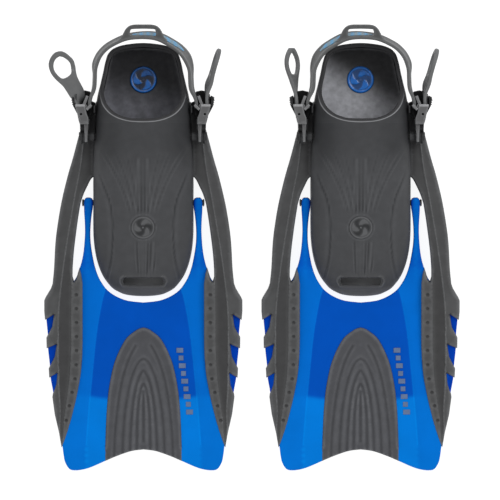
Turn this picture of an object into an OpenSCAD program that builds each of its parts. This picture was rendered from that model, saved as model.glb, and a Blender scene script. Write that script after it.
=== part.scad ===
// A pair of open-heel snorkel fins with pivoting blades, lying on their soles with the heels
// toward +Y and the blade tips toward -Y. Millimetres, +Z up.
// Each fin is drawn about its blade pivot: y = 0 is the pivot axis and x = 0 the fin's middle.

/* [Pair] */
// Distance between the middles of the two fins
fin_spacing = 224; // [216:1:280]

/* [Blade] */
// Height of the blade pivot above the floor
pivot_z = 24; // [23:0.5:26]
// Thickness of the blue blade plate
plate_t = 3.6; // [3:0.2:4]
// Thickness of the grey middle insert
insert_t = 4.8; // [4.4:0.2:5]
// Radius of the pivot pins
pin_r = 3; // [2.5:0.1:3.5]

/* [Foot pocket] */
// Radius of the round instep badge
instep_badge_r = 12.5; // [9:0.5:14]
// Radius of the round heel badge
heel_badge_r = 14; // [9:0.5:15]
// Length of the toe drain slot
drain_l = 45; // [30:1:50]
// Width of the toe drain slot
drain_w = 9; // [6:0.5:10]

/* [Strap] */
// Height of the heel strap band
strap_h = 17; // [15:0.5:17]
// Thickness of the heel strap band
strap_t = 3.5; // [3:0.1:3.5]
// Height of the strap posts above the floor
post_z = 44; // [43:0.5:46]
// Radius of the strap posts
post_r = 3.5; // [3:0.1:4]

/* [Hidden] */
$fn = 48;
running_gap = 0.08;
side_gap = 0.4;

// The blade slopes down from its pivot until the tips meet the floor.
tip_y = -277.2;
floor_gap = 0.18;
blade_tilt = asin((pivot_z - plate_t / 2 - floor_gap) / -tip_y);
ring_back_y = 183;
front_reach = -tip_y * cos(blade_tilt) + plate_t / 2 * sin(blade_tilt);
y_shift = (front_reach - ring_back_y) / 2;

grey = "#4a4b4d";
dark = "#303133";
mid_grey = "#5b5c5e";
blue = "#0069c8";

// Left and right are the fin's place in the pair, seen from above with the heels up.
LEFT = -1;
RIGHT = 1;

// ---------- curves ----------

function between(p0, p1, p2, p3, t) = 0.5 * (2 * p1 + (p2 - p0) * t
    + (2 * p0 - 5 * p1 + 4 * p2 - p3) * t * t + (3 * p1 - p0 - 3 * p2 + p3) * t * t * t);
function last(list) = len(list) - 1;
// A smooth curve through the points, with n steps from each to the next.
function curve(p, n = 4) = concat(
    [for (i = [0:last(p) - 1], k = [0:n - 1])
        between(p[max(i - 1, 0)], p[i], p[i + 1], p[min(i + 2, last(p))], k / n)],
    [p[last(p)]]);
function flipped(p) = [for (i = [last(p):-1:0]) [-p[i][0], p[i][1]]];
function reversed(p) = [for (i = [last(p):-1:0]) p[i]];
// The band of the given thickness about an open line, or from one side distance to another.
function side_line(p, d) = [for (i = [0:last(p)])
    let (a = p[max(i - 1, 0)], b = p[min(i + 1, last(p))], v = (b - a) / norm(b - a))
    p[i] + d * [v[1], -v[0]]];
function band(p, d0, d1) = concat(side_line(p, d0), reversed(side_line(p, d1)));

// ---------- placing ----------

module on_foot(fin) translate([fin * fin_spacing / 2, y_shift, 0]) children();
module on_blade(fin) on_foot(fin) translate([0, 0, pivot_z]) rotate([blade_tilt, 0, 0]) children();
// The side that is drawn at +x, or its mirror image.
module at_side(side) mirror([side < 0 ? 1 : 0, 0, 0]) children();
// A profile drawn as [y, z], extruded along x from x0 to x1.
module along_x(x0, x1) translate([x0, 0, 0]) rotate([90, 0, 90]) linear_extrude(x1 - x0) children();
module rod_x(x0, x1, r, y = 0, z = 0) translate([x0, y, z]) rotate([0, 90, 0]) cylinder(h = x1 - x0, r = r);

// ---------- foot pocket ----------

// Rows from toe to heel: y, half width, height of the top, height of the upright flank.
outer_rows = [
    [-96.4, 11, 12, 6], [-95, 19, 15, 7], [-92.4, 25, 19, 9], [-89.5, 30, 22, 10], [-83, 36.5, 27, 12],
    [-76, 41.4, 31.5, 14], [-65, 46.2, 37.5, 18], [-52, 49.5, 43, 22], [-36, 51.4, 48.5, 27],
    [-20, 52, 53, 31], [0, 52, 59, 34], [20, 52, 64.5, 34], [32, 51.6, 67.5, 34],
    [46, 51, 71, 34], [58, 50.4, 73.5, 34], [72, 49.5, 77, 34], [88, 48.8, 80.5, 34],
    [102, 48.2, 82, 34], [112, 46.5, 82, 34], [122, 44, 82, 34], [134, 41.2, 82, 34],
    [146, 38.6, 82, 34], [154, 35.5, 82, 34], [159, 30, 82, 34], [162, 22, 82, 34], [164, 9, 82, 34]
];
inner_rows = [
    [-86, 22, 17, 10], [-82, 29, 21, 11], [-76, 35.4, 26.5, 13], [-65, 40.6, 33, 17],
    [-52, 44.2, 38.7, 21], [-36, 46.2, 44.2, 26], [-20, 47.7, 48.7, 30], [0, 47.7, 54.7, 33],
    [20, 47.7, 60.2, 34], [46, 46.7, 66.7, 34], [72, 45.2, 72.7, 34], [86, 44.6, 76, 34],
    [102, 44, 77.6, 34], [112, 42.2, 77.6, 34], [122, 39.8, 77.6, 34], [134, 37, 77.6, 34],
    [146, 34.4, 77.6, 34], [152, 31.2, 77.6, 34], [156, 26, 77.6, 34], [158.5, 18, 77.6, 34],
    [159.8, 7, 77.6, 34]
];
pocket_floor = 6;
dome_steps = 9;
dome_power = 2.3;

// One closed ring of the pocket, anticlockwise from the middle of the underside.
function half_ring(row, floor_z, edge) = concat(
    [[0, floor_z], [row[1] - edge, floor_z], [row[1], floor_z + edge]],
    [for (k = [0:dome_steps])
        let (t = 90 * k / dome_steps)
        [row[1] * pow(cos(t), 2 / dome_power), row[3] + (row[2] - row[3]) * pow(sin(t), 2 / dome_power)]]);
function ring(row, floor_z, edge) =
    let (half = half_ring(row, floor_z, edge))
    concat([for (p = half) [p[0], row[0], p[1]]],
        [for (i = [len(half) - 2:-1:1]) [-half[i][0], row[0], half[i][1]]]);
module loft(rows, floor_z, edge) {
    rings = [for (row = rows) ring(row, floor_z, edge)];
    n = len(rings[0]);
    m = len(rings);
    points = [for (r = rings) each r];
    sides = [for (j = [0:m - 2], i = [0:n - 1])
        let (a = j * n + i, b = j * n + (i + 1) % n)
        each [[a, b, a + n], [b, b + n, a + n]]];
    first_cap = [for (i = [1:n - 2]) [0, i + 1, i]];
    last_cap = [for (i = [1:n - 2]) [(m - 1) * n, (m - 1) * n + i, (m - 1) * n + i + 1]];
    polyhedron([for (p = points) p], concat(sides, first_cap, last_cap), convexity = 8);
}

// The line along which the pocket is open above, from the instep lip down to the heel.
opening_line = [
    [79, 100], [81.7, 81], [84, 77.5], [87, 74.6], [91, 70.5], [96, 66], [101, 61.5], [106, 57],
    [112, 50.5], [118, 45.5], [126, 41], [138, 36.5], [150, 34], [170, 33], [170, 100]
];
drain_y = -81;
instep_y = -25.5;
instep_slope = 16;
instep_z = 50.8;
heel_badge_y = 127;
footbed_t = 2.6;

module instep_disc(extra = 0) translate([0, instep_y, instep_z]) rotate([instep_slope, 0, 0])
    translate([0, 0, -2]) cylinder(h = 3.2 + extra, r = instep_badge_r);
module drain_cut() for (z = [10]) translate([0, drain_y, z]) linear_extrude(30)
    for (x0 = [-1, 1]) polygon([
        [x0 * (drain_l - drain_w) / 2, -drain_w / 2], [0, -drain_w / 2],
        [0, drain_w / 2], [x0 * (drain_l - drain_w) / 2, drain_w / 2]]);
module drain_ends() for (x0 = [-1, 1]) translate([x0 * (drain_l - drain_w) / 2, drain_y, 10])
    cylinder(h = 30, r = drain_w / 2);
post_y = 68;
pin_in = 47.8;
post_in = 44.8;

module foot_pocket() difference() {
    loft(outer_rows, 0, 5);
    loft(inner_rows, pocket_floor, 3);
    along_x(-60, 60) polygon(opening_line);
    drain_cut();
    drain_ends();
    instep_disc(4);
    for (side = [LEFT, RIGHT]) at_side(side) {
        rod_x(pin_in - 8, 60, pin_r, 0, pivot_z);
        rod_x(post_in - 8, 60, post_r, post_y, post_z);
    }
}
footbed_edge = curve([[0, -72], [22, -69], [33, -60], [39, -44], [42.4, -20], [42.8, 0], [42.4, 30],
    [40.4, 70], [39.4, 100], [37, 116], [33, 134], [29.6, 148], [24, 154.5], [12, 157], [0, 157.6]], 3);
module footbed() translate([0, 0, pocket_floor]) linear_extrude(footbed_t)
    polygon(concat(footbed_edge, flipped(footbed_edge)));
module heel_badge() translate([0, heel_badge_y, pocket_floor + footbed_t]) difference() {
    cylinder(h = 1.4, r = heel_badge_r);
    translate([0, 0, 0.8]) cylinder(h = 2, r = heel_badge_r - 2.4);
}
module instep_badge() instep_disc();

// ---------- rails ----------

knuckle_r = 12.6;
knuckle_gap = 0.5;
rail_half = 10;
slot_top_y = 32;
// Outer edge of the whole rail from the buckle down to the side fin.
rail_upper_edge = [[54, 93], [60, 90], [62.5, 83], [67.5, 65], [72.5, 46], [78, 27], [84, 2]];
rail_slot_edge = [[64.4, 0], [61.5, 9], [57.6, 19], [54.6, 27.5], [52.4, 31.6]];
pocket_side = [for (row = outer_rows) if (row[0] >= slot_top_y && row[0] <= 90) [row[1], row[0]]];
module rail_upper() intersection() {
    translate([0, 0, -1]) linear_extrude(60) polygon(concat(
        curve(rail_upper_edge, 3), [[84.6, -14], [64.4, -14]], curve(rail_slot_edge, 3), pocket_side));
    union() {
        along_x(40, 100) polygon([[0, pivot_z - rail_half], [30, pivot_z - 11], [70, 12.5], [95, 14],
            [95, 27], [88, 29.4], [70, 31.4], [30, 33], [0, pivot_z + rail_half]]);
        rod_x(40, 100, knuckle_r, 0, pivot_z);
    }
}

// Blade frame from here: z = 0 is the middle of the blade plate.
rail_lower_edge = [[84, 0], [88.2, -22], [90.6, -42], [92, -68], [93.6, -84]];
rail_inner_edge = [[64.4, 0], [65.2, -4], [68, -22], [71.2, -47], [72.8, -66], [73, -77]];
strip_tongue = [[71.6, -81.4], [69.4, -79.4], [67.2, -72], [65.8, -67.4], [64, -73], [62.6, -83]];
strip_edge = [[62.6, -83], [62.6, -120], [62.8, -151], [64.4, -175], [67.8, -195], [71, -210],
    [76.2, -230], [81.4, -246], [84.6, -253.6]];
// Each gill is a finger of the side fin; between two gills the blue plate shows.
gills = [
    [[93.6, -84], [95.4, -89], [100.8, -98], [102.2, -101], [102.2, -112], [101.4, -121]],
    [[92, -115], [94, -128], [98.9, -137.5], [100, -139.5], [99.8, -150.5]],
    [[89.4, -146], [91.4, -159], [96.6, -169.5], [97.7, -171.5], [97.2, -181]],
    [[88.6, -176], [90, -188], [93.6, -198], [94, -201], [91.6, -219], [87, -239], [84.6, -253.6]]
];
function rail_profile(grow = 0) = [[12, 12], [-30, rail_half], [-80, rail_half], [-110, 8.4], [-150, 6.8],
    [-200, 4.8], [-254, 3], [-254, -3], [-200, -4.8], [-150, -6.8], [-110, -8.4], [-80, -rail_half],
    [-30, -rail_half], [12, -12]];
module rail_lower() difference() {
    intersection() {
        translate([0, 0, -20]) linear_extrude(40) polygon(concat(
            curve(rail_lower_edge, 3), [for (g = gills) each g], reversed(curve(strip_edge, 2)),
            reversed(strip_tongue), reversed(curve(rail_inner_edge, 3))));
        along_x(60, 110) polygon(rail_profile());
    }
    rod_x(40, 120, knuckle_r + knuckle_gap);
    translate([40, 0, -20]) cube([80, 20, 40]);
    blade_body();
}

// ---------- blade ----------

arm_out = 61;
u_edge = [[0, -103.2], [16, -101.4], [28, -96.9], [37, -90.6], [42.6, -83.4], [46.6, -76], [50, -66],
    [52.5, -54], [54.2, -42], [54.6, -31], [54, -20], [52.9, -9], [52.8, 0]];
arm_out_edge = [[arm_out, 0], [60.9, -8], [60.2, -20], [60, -31], [60.8, -44], [61.9, -53], [63.3, -60],
    [65, -66], [68.5, -76], [74, -84], [84, -92], [92, -98], [97.6, -105], [100, -114], [100, -121],
    [98.4, -138], [98.4, -150], [96.4, -169], [95.8, -181], [92.8, -198], [90.6, -218], [86, -238],
    [83.4, -254]];
corner_edge = [[83.4, -254], [82.4, -262], [80.8, -269], [76.4, -275.8], [70, tip_y], [61, -276],
    [53, -273.4], [43, -269], [29, -262.8], [13, -257.2], [0, -255.4]];
arm_disc_r = 5.4;
blade_half = concat(curve(u_edge, 3), [[52.8, 8], [arm_out, 8]], curve(arm_out_edge, 2), curve(corner_edge, 3));
arm_profile = [[0, arm_disc_r], [-30, arm_disc_r], [-60, 5], [-85, 3.4], [-105, plate_t / 2],
    [-280, plate_t / 2], [-280, -plate_t / 2], [-105, -plate_t / 2], [-85, -3.4], [-60, -5],
    [-30, -arm_disc_r], [0, -arm_disc_r]];
insert_half = curve([[0, -129], [4.4, -130.2], [8.8, -132.8], [16.4, -138.9], [21.8, -147], [27, -157.9],
    [30.6, -168], [33.6, -181], [36.3, -198], [38.2, -221], [39.4, -250], [39.6, -290]], 2);

module blade_plan() polygon(concat(blade_half, flipped(blade_half)));
module insert_plan() polygon(concat(reversed(insert_half), [for (p = insert_half) [-p[0], p[1]]]));
module blade_body() intersection() {
    translate([0, 0, -20]) linear_extrude(40) blade_plan();
    union() {
        along_x(-110, 110) polygon(arm_profile);
        rod_x(-110, 110, arm_disc_r);
    }
}
module blade() difference() {
    blade_body();
    translate([0, 0, -20]) linear_extrude(40) insert_plan();
    rod_x(-70, 70, pin_r + running_gap);
}
module centre_insert() translate([0, 0, -insert_t / 2]) linear_extrude(insert_t) intersection() {
    blade_plan();
    insert_plan();
}
mark_rows = 9;
mark_start = [37.6, -150];
mark_step = [1.25, -8];
module blade_mark() for (k = [0:mark_rows - 1])
    translate([mark_start[0] + k * mark_step[0] - (k % 2 == 0 ? 3.5 : 2.5), mark_start[1] + k * mark_step[1] - 5,
        plate_t / 2])
        cube([k % 2 == 0 ? 7 : 5, 5, 0.3]);
pin_head_r = 3.9;
module pivot_pins() for (side = [LEFT, RIGHT]) at_side(side) {
    rod_x(pin_in, arm_out + side_gap, pin_r, 0, pivot_z);
    rod_x(arm_out + side_gap, arm_out + 1.7, pin_head_r, 0, pivot_z);
}

// ---------- strap hardware, drawn on the +x side ----------

strap_z = post_z + 3;
strap_low = strap_z - strap_h / 2;
strap_high = strap_z + strap_h / 2;
tongue_in = 56;
tongue_out = 64;
post_flange_r = 4.6;
post_head_r = 4.6;
module strap_posts() for (side = [LEFT, RIGHT]) at_side(side) {
    rod_x(post_in, tongue_out + 2, post_r, post_y, post_z);
    rod_x(50, tongue_in - side_gap, post_flange_r, post_y, post_z);
    rod_x(tongue_out + side_gap, tongue_out + 2, post_head_r, post_y, post_z);
}
tray_t = 2.6;
plate_gap = 0.3;
buckle_plate_t = 2.3;
buckle_low = strap_low - plate_gap - buckle_plate_t;
tray_low = buckle_low - side_gap - tray_t;
socket = [5, 9.5, 7];
socket_x = 60;
prong_gap = 0.25;
tongue_end = 86;
tray_plan = [[tongue_in, 80], [tongue_out, 80], [65, 86], [72.2, 99.6], [73.4, 108.4], [70, 110.4], [66, 104],
    [57, 104], [54, 105], [49.2, 103], [49.2, 93], [54, 86]];
eye_r = 8;
// The clip's tongue narrows toward the eye that turns on the post.
tongue_plan = [[tongue_in, tongue_end + 1], [tongue_in, 72], [57.4, post_y - eye_r - 1],
    [63.4, post_y - eye_r - 1], [tongue_out, 72], [tongue_out, tongue_end + 1]];
module clip() {
    difference() {
        union() {
            intersection() {
                union() {
                    rod_x(tongue_in, tongue_out, eye_r, post_y, post_z);
                    along_x(tongue_in, tongue_out) polygon([[post_y, post_z - eye_r], [78, tray_low],
                        [tongue_end, tray_low], [tongue_end, 53], [74, 52], [post_y, post_z + eye_r]]);
                }
                linear_extrude(80) polygon(tongue_plan);
            }
            translate([0, 0, tray_low]) linear_extrude(tray_t) polygon(tray_plan);
        }
        rod_x(tongue_in - 5, tongue_out + 5, post_r + running_gap, post_y, post_z);
        translate([socket_x - socket[0] / 2, tongue_end - socket[1], post_z - 1])
            cube([socket[0], socket[1] + 5, socket[2]]);
    }
}
tab_travel = 1;
// The two pinch tabs stand on the tray: the outer one away from the foot, the inner one beside it.
module tab_out() translate([0, 0, buckle_low - 0.1]) linear_extrude(20)
    polygon([[70.1, 99.6], [71.6, 98.6], [73.2, 106.4], [72.2, 109.2], [70.4, 108]]);
module tab_in() translate([0, 0, buckle_low - 0.1]) linear_extrude(20)
    polygon([[49.4, 92.4], [50.6, 92.4], [50.6, 99.6], [49.4, 99.6]]);
roller_u = 60.6;
roller_y = 98;
roller_r = 3.6;
roller_pin_r = 1.6;
buckle_plan = concat([[55.4, tongue_end + 0.6], [63.6, tongue_end + 0.6]],
    curve([[65.5, 90], [67.8, 95], [68.6, 104], [67.8, 112]], 3),
    curve([[66.4, 114.6], [60, 115.6], [54.6, 114.6]], 2), [[52.9, 112], [52.9, 92]]);
module buckle() difference() {
    union() {
        for (z = [buckle_low, strap_high + plate_gap])
            translate([0, 0, z]) linear_extrude(buckle_plate_t) polygon(buckle_plan);
        translate([58.4, tongue_end + 0.6, buckle_low])
            cube([5.2, 2.8, strap_high + plate_gap + buckle_plate_t - buckle_low]);
        translate([socket_x - socket[0] / 2 + prong_gap, tongue_end - 8, post_z - 1 + prong_gap])
            cube([socket[0] - 2 * prong_gap, 9.4, socket[2] - 2 * prong_gap]);
    }
    translate([roller_u, roller_y, buckle_low - 1]) cylinder(h = 40, r = roller_pin_r);
    translate([60, 107, strap_high]) cylinder(h = 10, r = 1.8);
}
module rollers() for (side = [LEFT, RIGHT]) at_side(side) translate([roller_u, roller_y, 0]) {
    translate([0, 0, strap_low - plate_gap + 0.1])
        cylinder(h = strap_h + 2 * plate_gap - 0.2, r = roller_r);
    translate([0, 0, buckle_low + 0.4])
        cylinder(h = strap_high + plate_gap + buckle_plate_t - buckle_low - 0.8, r = roller_pin_r);
}

// ---------- strap ----------

strap_side = [[54.75, 98.5], [54.75, 103], [53.2, 109], [50.8, 114.5], [49.6, 120], [49.2, 128],
    [48.6, 139], [44.6, 150], [37.4, 158.4], [28.4, 164], [18.5, 168.2], [9.5, 169.9], [0, 170.4]];
strap_line = let (half = curve(strap_side, 3)) concat(half, [for (i = [last(half) - 1:-1:0]) [-half[i][0], half[i][1]]]);
ring_outline = [[27, 164.6], [22.6, 170], [20.2, 176], [16, 180.6], [9, ring_back_y - 0.4], [0, ring_back_y]];
ring_hole = [[0, 173], [10.4, 172.6], [12.4, 174], [11.6, 177.4], [9.6, 178.2], [0, 178.5]];
ring_t = 4;
module heel_strap() difference() {
    union() {
        translate([0, 0, strap_low]) linear_extrude(strap_h)
            polygon(band(strap_line, -strap_t / 2, strap_t / 2));
        translate([0, 0, strap_high - ring_t]) linear_extrude(ring_t) difference() {
            polygon(concat(ring_outline, flipped(ring_outline)));
            polygon(strap_line);
        }
    }
    translate([0, 0, strap_low - 5]) linear_extrude(strap_h + 10)
        polygon(concat(ring_hole, flipped(ring_hole)));
}
inlay_t = 0.6;
// The inlay runs from the middle of the ring down one side of the band.
inlay_points = [[44.6, 150], [37.4, 158.4], [28.4, 164], [18.5, 168.2], [9.5, 169.9], [0, 170.4]];
inlay_line = curve(inlay_points, 3);
module strap_inlay() translate([0, 0, strap_z - 6]) linear_extrude(8)
    polygon(band(inlay_line, -strap_t / 2, -strap_t / 2 - inlay_t));

tail_u = roller_u + roller_r + 0.3 + strap_t / 2;
tail_line = curve([[tail_u, 96], [tail_u, 106], [67.6, 115], [70.4, 126], [74, 138], [77.4, 149], [80, 159]], 3);
paddle_y = 145;
paddle_r = 14;
paddle_hole_r = 9;
module thumb_loop() intersection() {
    translate([0, 0, strap_z - 20]) linear_extrude(40) polygon(band(tail_line, -strap_t / 2, strap_t / 2));
    along_x(50, 100) difference() {
        union() {
            polygon([[90, strap_low], [118, strap_low], [paddle_y - 7, strap_z - 12.1], [paddle_y - 7, strap_z + 12.1],
                [118, strap_high], [90, strap_high]]);
            translate([paddle_y, strap_z]) circle(paddle_r);
        }
        translate([paddle_y, strap_z]) circle(paddle_hole_r);
    }
}
// The loop that has turned over and lies flat beside the fin.
flat_paddle = [85, 144.4];
flat_t = 4;
module thumb_loop_flat() {
    intersection() {
        translate([0, 0, strap_low]) linear_extrude(strap_h) polygon(band(tail_line, -strap_t / 2, strap_t / 2));
        along_x(50, 100) polygon([[90, strap_low], [119, strap_low], [119, strap_high], [90, strap_high]]);
    }
    translate([0, 0, strap_z - flat_t / 2]) linear_extrude(flat_t) difference() {
        union() {
            translate(flat_paddle) circle(13.4);
            polygon([[66, 113], [73.2, 112.6], [76, 118], [95.6, 136.2], [73.4, 151], [65.2, 122]]);
        }
        translate(flat_paddle + [-0.2, -0.6]) circle(8.5);
        polygon([[76.6, 142], [77.2, 132], [84, 134], [91, 139], [88, 142]]);
    }
}

// ---------- the pieces ----------

module left_foot_pocket() color(grey) on_foot(LEFT) foot_pocket();
module left_footbed() color(mid_grey) on_foot(LEFT) footbed();
module left_heel_badge() color(blue) on_foot(LEFT) heel_badge();
module left_instep_badge() color(dark) on_foot(LEFT) instep_badge();
module left_rail_upper_outer() color(grey) on_foot(LEFT) at_side(LEFT) rail_upper();
module left_rail_upper_inner() color(grey) on_foot(LEFT) at_side(RIGHT) rail_upper();
module left_pivot_pins() color(dark) on_foot(LEFT) pivot_pins();
module left_strap_posts() color(dark) on_foot(LEFT) strap_posts();
module left_blade() color(blue) on_blade(LEFT) blade();
module left_centre_insert() color(grey) on_blade(LEFT) centre_insert();
module left_blade_mark() color(mid_grey) on_blade(LEFT) blade_mark();
module left_rail_lower_outer() color(grey) on_blade(LEFT) at_side(LEFT) rail_lower();
module left_rail_lower_inner() color(grey) on_blade(LEFT) at_side(RIGHT) rail_lower();
module left_clip_outer() color(dark) on_foot(LEFT) at_side(LEFT) clip();
module left_clip_inner() color(dark) on_foot(LEFT) at_side(RIGHT) clip();
module left_tab_outer_out() color(dark) on_foot(LEFT) at_side(LEFT) tab_out();
module left_tab_outer_in() color(dark) on_foot(LEFT) at_side(LEFT) tab_in();
module left_tab_inner_out() color(dark) on_foot(LEFT) at_side(RIGHT) tab_out();
module left_tab_inner_in() color(dark) on_foot(LEFT) at_side(RIGHT) tab_in();
module left_buckle_outer() color(mid_grey) on_foot(LEFT) at_side(LEFT) buckle();
module left_buckle_inner() color(mid_grey) on_foot(LEFT) at_side(RIGHT) buckle();
module left_rollers() color(dark) on_foot(LEFT) rollers();
module left_heel_strap() color(grey) on_foot(LEFT) heel_strap();
module left_strap_inlay() color(blue) on_foot(LEFT) at_side(RIGHT) strap_inlay();
module left_thumb_loop_outer() color(grey) on_foot(LEFT) at_side(LEFT) thumb_loop_flat();
module left_thumb_loop_inner() color(grey) on_foot(LEFT) at_side(RIGHT) thumb_loop();
module right_foot_pocket() color(grey) on_foot(RIGHT) foot_pocket();
module right_footbed() color(mid_grey) on_foot(RIGHT) footbed();
module right_heel_badge() color(blue) on_foot(RIGHT) heel_badge();
module right_instep_badge() color(dark) on_foot(RIGHT) instep_badge();
module right_rail_upper_outer() color(grey) on_foot(RIGHT) at_side(RIGHT) rail_upper();
module right_rail_upper_inner() color(grey) on_foot(RIGHT) at_side(LEFT) rail_upper();
module right_pivot_pins() color(dark) on_foot(RIGHT) pivot_pins();
module right_strap_posts() color(dark) on_foot(RIGHT) strap_posts();
module right_blade() color(blue) on_blade(RIGHT) blade();
module right_centre_insert() color(grey) on_blade(RIGHT) centre_insert();
module right_blade_mark() color(mid_grey) on_blade(RIGHT) blade_mark();
module right_rail_lower_outer() color(grey) on_blade(RIGHT) at_side(RIGHT) rail_lower();
module right_rail_lower_inner() color(grey) on_blade(RIGHT) at_side(LEFT) rail_lower();
module right_clip_outer() color(dark) on_foot(RIGHT) at_side(RIGHT) clip();
module right_clip_inner() color(dark) on_foot(RIGHT) at_side(LEFT) clip();
module right_tab_outer_out() color(dark) on_foot(RIGHT) at_side(RIGHT) tab_out();
module right_tab_outer_in() color(dark) on_foot(RIGHT) at_side(RIGHT) tab_in();
module right_tab_inner_out() color(dark) on_foot(RIGHT) at_side(LEFT) tab_out();
module right_tab_inner_in() color(dark) on_foot(RIGHT) at_side(LEFT) tab_in();
module right_buckle_outer() color(mid_grey) on_foot(RIGHT) at_side(RIGHT) buckle();
module right_buckle_inner() color(mid_grey) on_foot(RIGHT) at_side(LEFT) buckle();
module right_rollers() color(dark) on_foot(RIGHT) rollers();
module right_heel_strap() color(grey) on_foot(RIGHT) heel_strap();
module right_strap_inlay() color(blue) on_foot(RIGHT) at_side(LEFT) strap_inlay();
module right_thumb_loop_outer() color(grey) on_foot(RIGHT) at_side(RIGHT) thumb_loop();
module right_thumb_loop_inner() color(grey) on_foot(RIGHT) at_side(LEFT) thumb_loop();

left_foot_pocket();
left_footbed();
left_heel_badge();
left_instep_badge();
left_rail_upper_outer();
left_rail_upper_inner();
left_pivot_pins();
left_strap_posts();
left_blade();
left_centre_insert();
left_blade_mark();
left_rail_lower_outer();
left_rail_lower_inner();
left_clip_outer();
left_clip_inner();
left_tab_outer_out();
left_tab_outer_in();
left_tab_inner_out();
left_tab_inner_in();
left_buckle_outer();
left_buckle_inner();
left_rollers();
left_heel_strap();
left_strap_inlay();
left_thumb_loop_outer();
left_thumb_loop_inner();
right_foot_pocket();
right_footbed();
right_heel_badge();
right_instep_badge();
right_rail_upper_outer();
right_rail_upper_inner();
right_pivot_pins();
right_strap_posts();
right_blade();
right_centre_insert();
right_blade_mark();
right_rail_lower_outer();
right_rail_lower_inner();
right_clip_outer();
right_clip_inner();
right_tab_outer_out();
right_tab_outer_in();
right_tab_inner_out();
right_tab_inner_in();
right_buckle_outer();
right_buckle_inner();
right_rollers();
right_heel_strap();
right_strap_inlay();
right_thumb_loop_outer();
right_thumb_loop_inner();
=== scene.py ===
"""A pair of open-heel snorkel fins with pivoting blades, lying on their soles, seen from above.

Each fin is drawn about its blade pivot in millimetres: y = 0 is the pivot axis, +y runs to the
heel, and shapes for one side are drawn at +x and mirrored for the other.
"""

import math

import bpy
import numpy as np
from mathutils.geometry import delaunay_2d_cdt
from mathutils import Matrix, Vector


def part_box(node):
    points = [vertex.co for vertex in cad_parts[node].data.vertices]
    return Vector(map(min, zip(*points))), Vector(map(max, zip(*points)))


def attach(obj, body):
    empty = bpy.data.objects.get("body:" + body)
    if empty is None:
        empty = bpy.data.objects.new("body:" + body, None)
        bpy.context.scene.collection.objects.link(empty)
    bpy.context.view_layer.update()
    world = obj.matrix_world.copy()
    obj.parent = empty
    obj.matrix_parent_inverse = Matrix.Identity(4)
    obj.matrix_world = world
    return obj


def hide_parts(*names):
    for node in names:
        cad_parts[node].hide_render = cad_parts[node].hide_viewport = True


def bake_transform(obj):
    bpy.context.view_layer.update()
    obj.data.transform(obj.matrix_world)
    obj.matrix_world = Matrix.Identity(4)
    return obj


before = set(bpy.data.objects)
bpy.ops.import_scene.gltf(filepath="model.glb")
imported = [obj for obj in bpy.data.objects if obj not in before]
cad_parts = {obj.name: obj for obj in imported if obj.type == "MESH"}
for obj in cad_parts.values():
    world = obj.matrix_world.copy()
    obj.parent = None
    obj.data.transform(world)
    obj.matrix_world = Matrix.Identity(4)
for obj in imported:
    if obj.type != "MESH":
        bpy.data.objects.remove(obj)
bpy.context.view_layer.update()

# ---------- sizes shared with the CAD source, in millimetres ----------
MM = 0.001
FINS = {"left": -1, "right": 1}
FOOT = "foot_pockets"
CENTRE_X = 112.0
PIVOT_Z = 24.0
PLATE_T = 3.6
INSERT_T = 4.8
FLOOR_GAP = 0.18
TIP_Y = -277.2
TILT = math.asin((PIVOT_Z - PLATE_T / 2 - FLOOR_GAP) / -TIP_Y)
pins_low, pins_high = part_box("left_pivot_pins")
Y_SHIFT = (pins_low[1] + pins_high[1]) / 2 / MM
POST_Y, POST_Z = 68.0, 44.0
STRAP_Z, STRAP_H, STRAP_T = 47.0, 17.0, 3.5
STRAP_LOW, STRAP_HIGH = STRAP_Z - STRAP_H / 2, STRAP_Z + STRAP_H / 2
ROLLER = (60.6, 98.0)
TOOTH_PITCH = 3.2
TEETH_FROM, TEETH_TO = 4, 26
BEAD = 0.45
GRAIN_SIZE = 0.5
SHARP_DEGREES = 38


# ---------- curves and distances ----------


def spline(points, steps=6):
    """A smooth line through the points, with the given number of steps between two of them."""
    p = np.array(points, float)
    last = len(p) - 1
    out = []
    for i in range(last):
        a, b, c, d = (p[min(max(i + k, 0), last)] for k in (-1, 0, 1, 2))
        for t in np.arange(steps) / steps:
            out.append(0.5 * (2 * b + (c - a) * t + (2 * a - 5 * b + 4 * c - d) * t**2
                              + (3 * b - a - 3 * c + d) * t**3))
    return np.array(out + [p[-1]])


def eased(xs, ys, x):
    """The smooth curve y(x) through the given points, with xs rising."""
    xs, ys, x = np.asarray(xs, float), np.asarray(ys, float), np.asarray(x, float)
    slope = np.gradient(ys, xs)
    k = np.clip(np.searchsorted(xs, x) - 1, 0, len(xs) - 2)
    w = xs[k + 1] - xs[k]
    t = np.clip((x - xs[k]) / w, 0, 1)
    return (ys[k] * (2 * t**3 - 3 * t**2 + 1) + ys[k + 1] * (3 * t**2 - 2 * t**3)
            + w * slope[k] * (t**3 - 2 * t**2 + t) + w * slope[k + 1] * (t**3 - t**2))


def smooth(low, high, x):
    """0 below low, 1 above high, and a smooth step between them."""
    t = np.clip((np.asarray(x, float) - low) / (high - low), 0, 1)
    return t * t * (3 - 2 * t)


def run_along(line):
    """How far along the line each of its points is."""
    return np.r_[0, np.cumsum(np.linalg.norm(np.diff(line, axis=0), axis=1))]


def heading(line, closed=False):
    """The unit direction of the line at each of its points."""
    line = np.asarray(line, float)
    ahead = np.roll(line, -1, axis=0) - np.roll(line, 1, axis=0) if closed else np.gradient(line, axis=0)
    return ahead / np.linalg.norm(ahead, axis=1)[:, None]


def right_of(ahead):
    """The plan directions square to the given ones, on their right."""
    return np.stack([ahead[:, 1], -ahead[:, 0]], 1)


def turns(count):
    """Evenly spaced angles round a full turn."""
    return np.linspace(0, 2 * math.pi, count, endpoint=False)


def folded(points):
    """Plan points with the -x side folded over onto the +x side."""
    return np.c_[np.abs(points[:, 0]), points[:, 1]]


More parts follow.
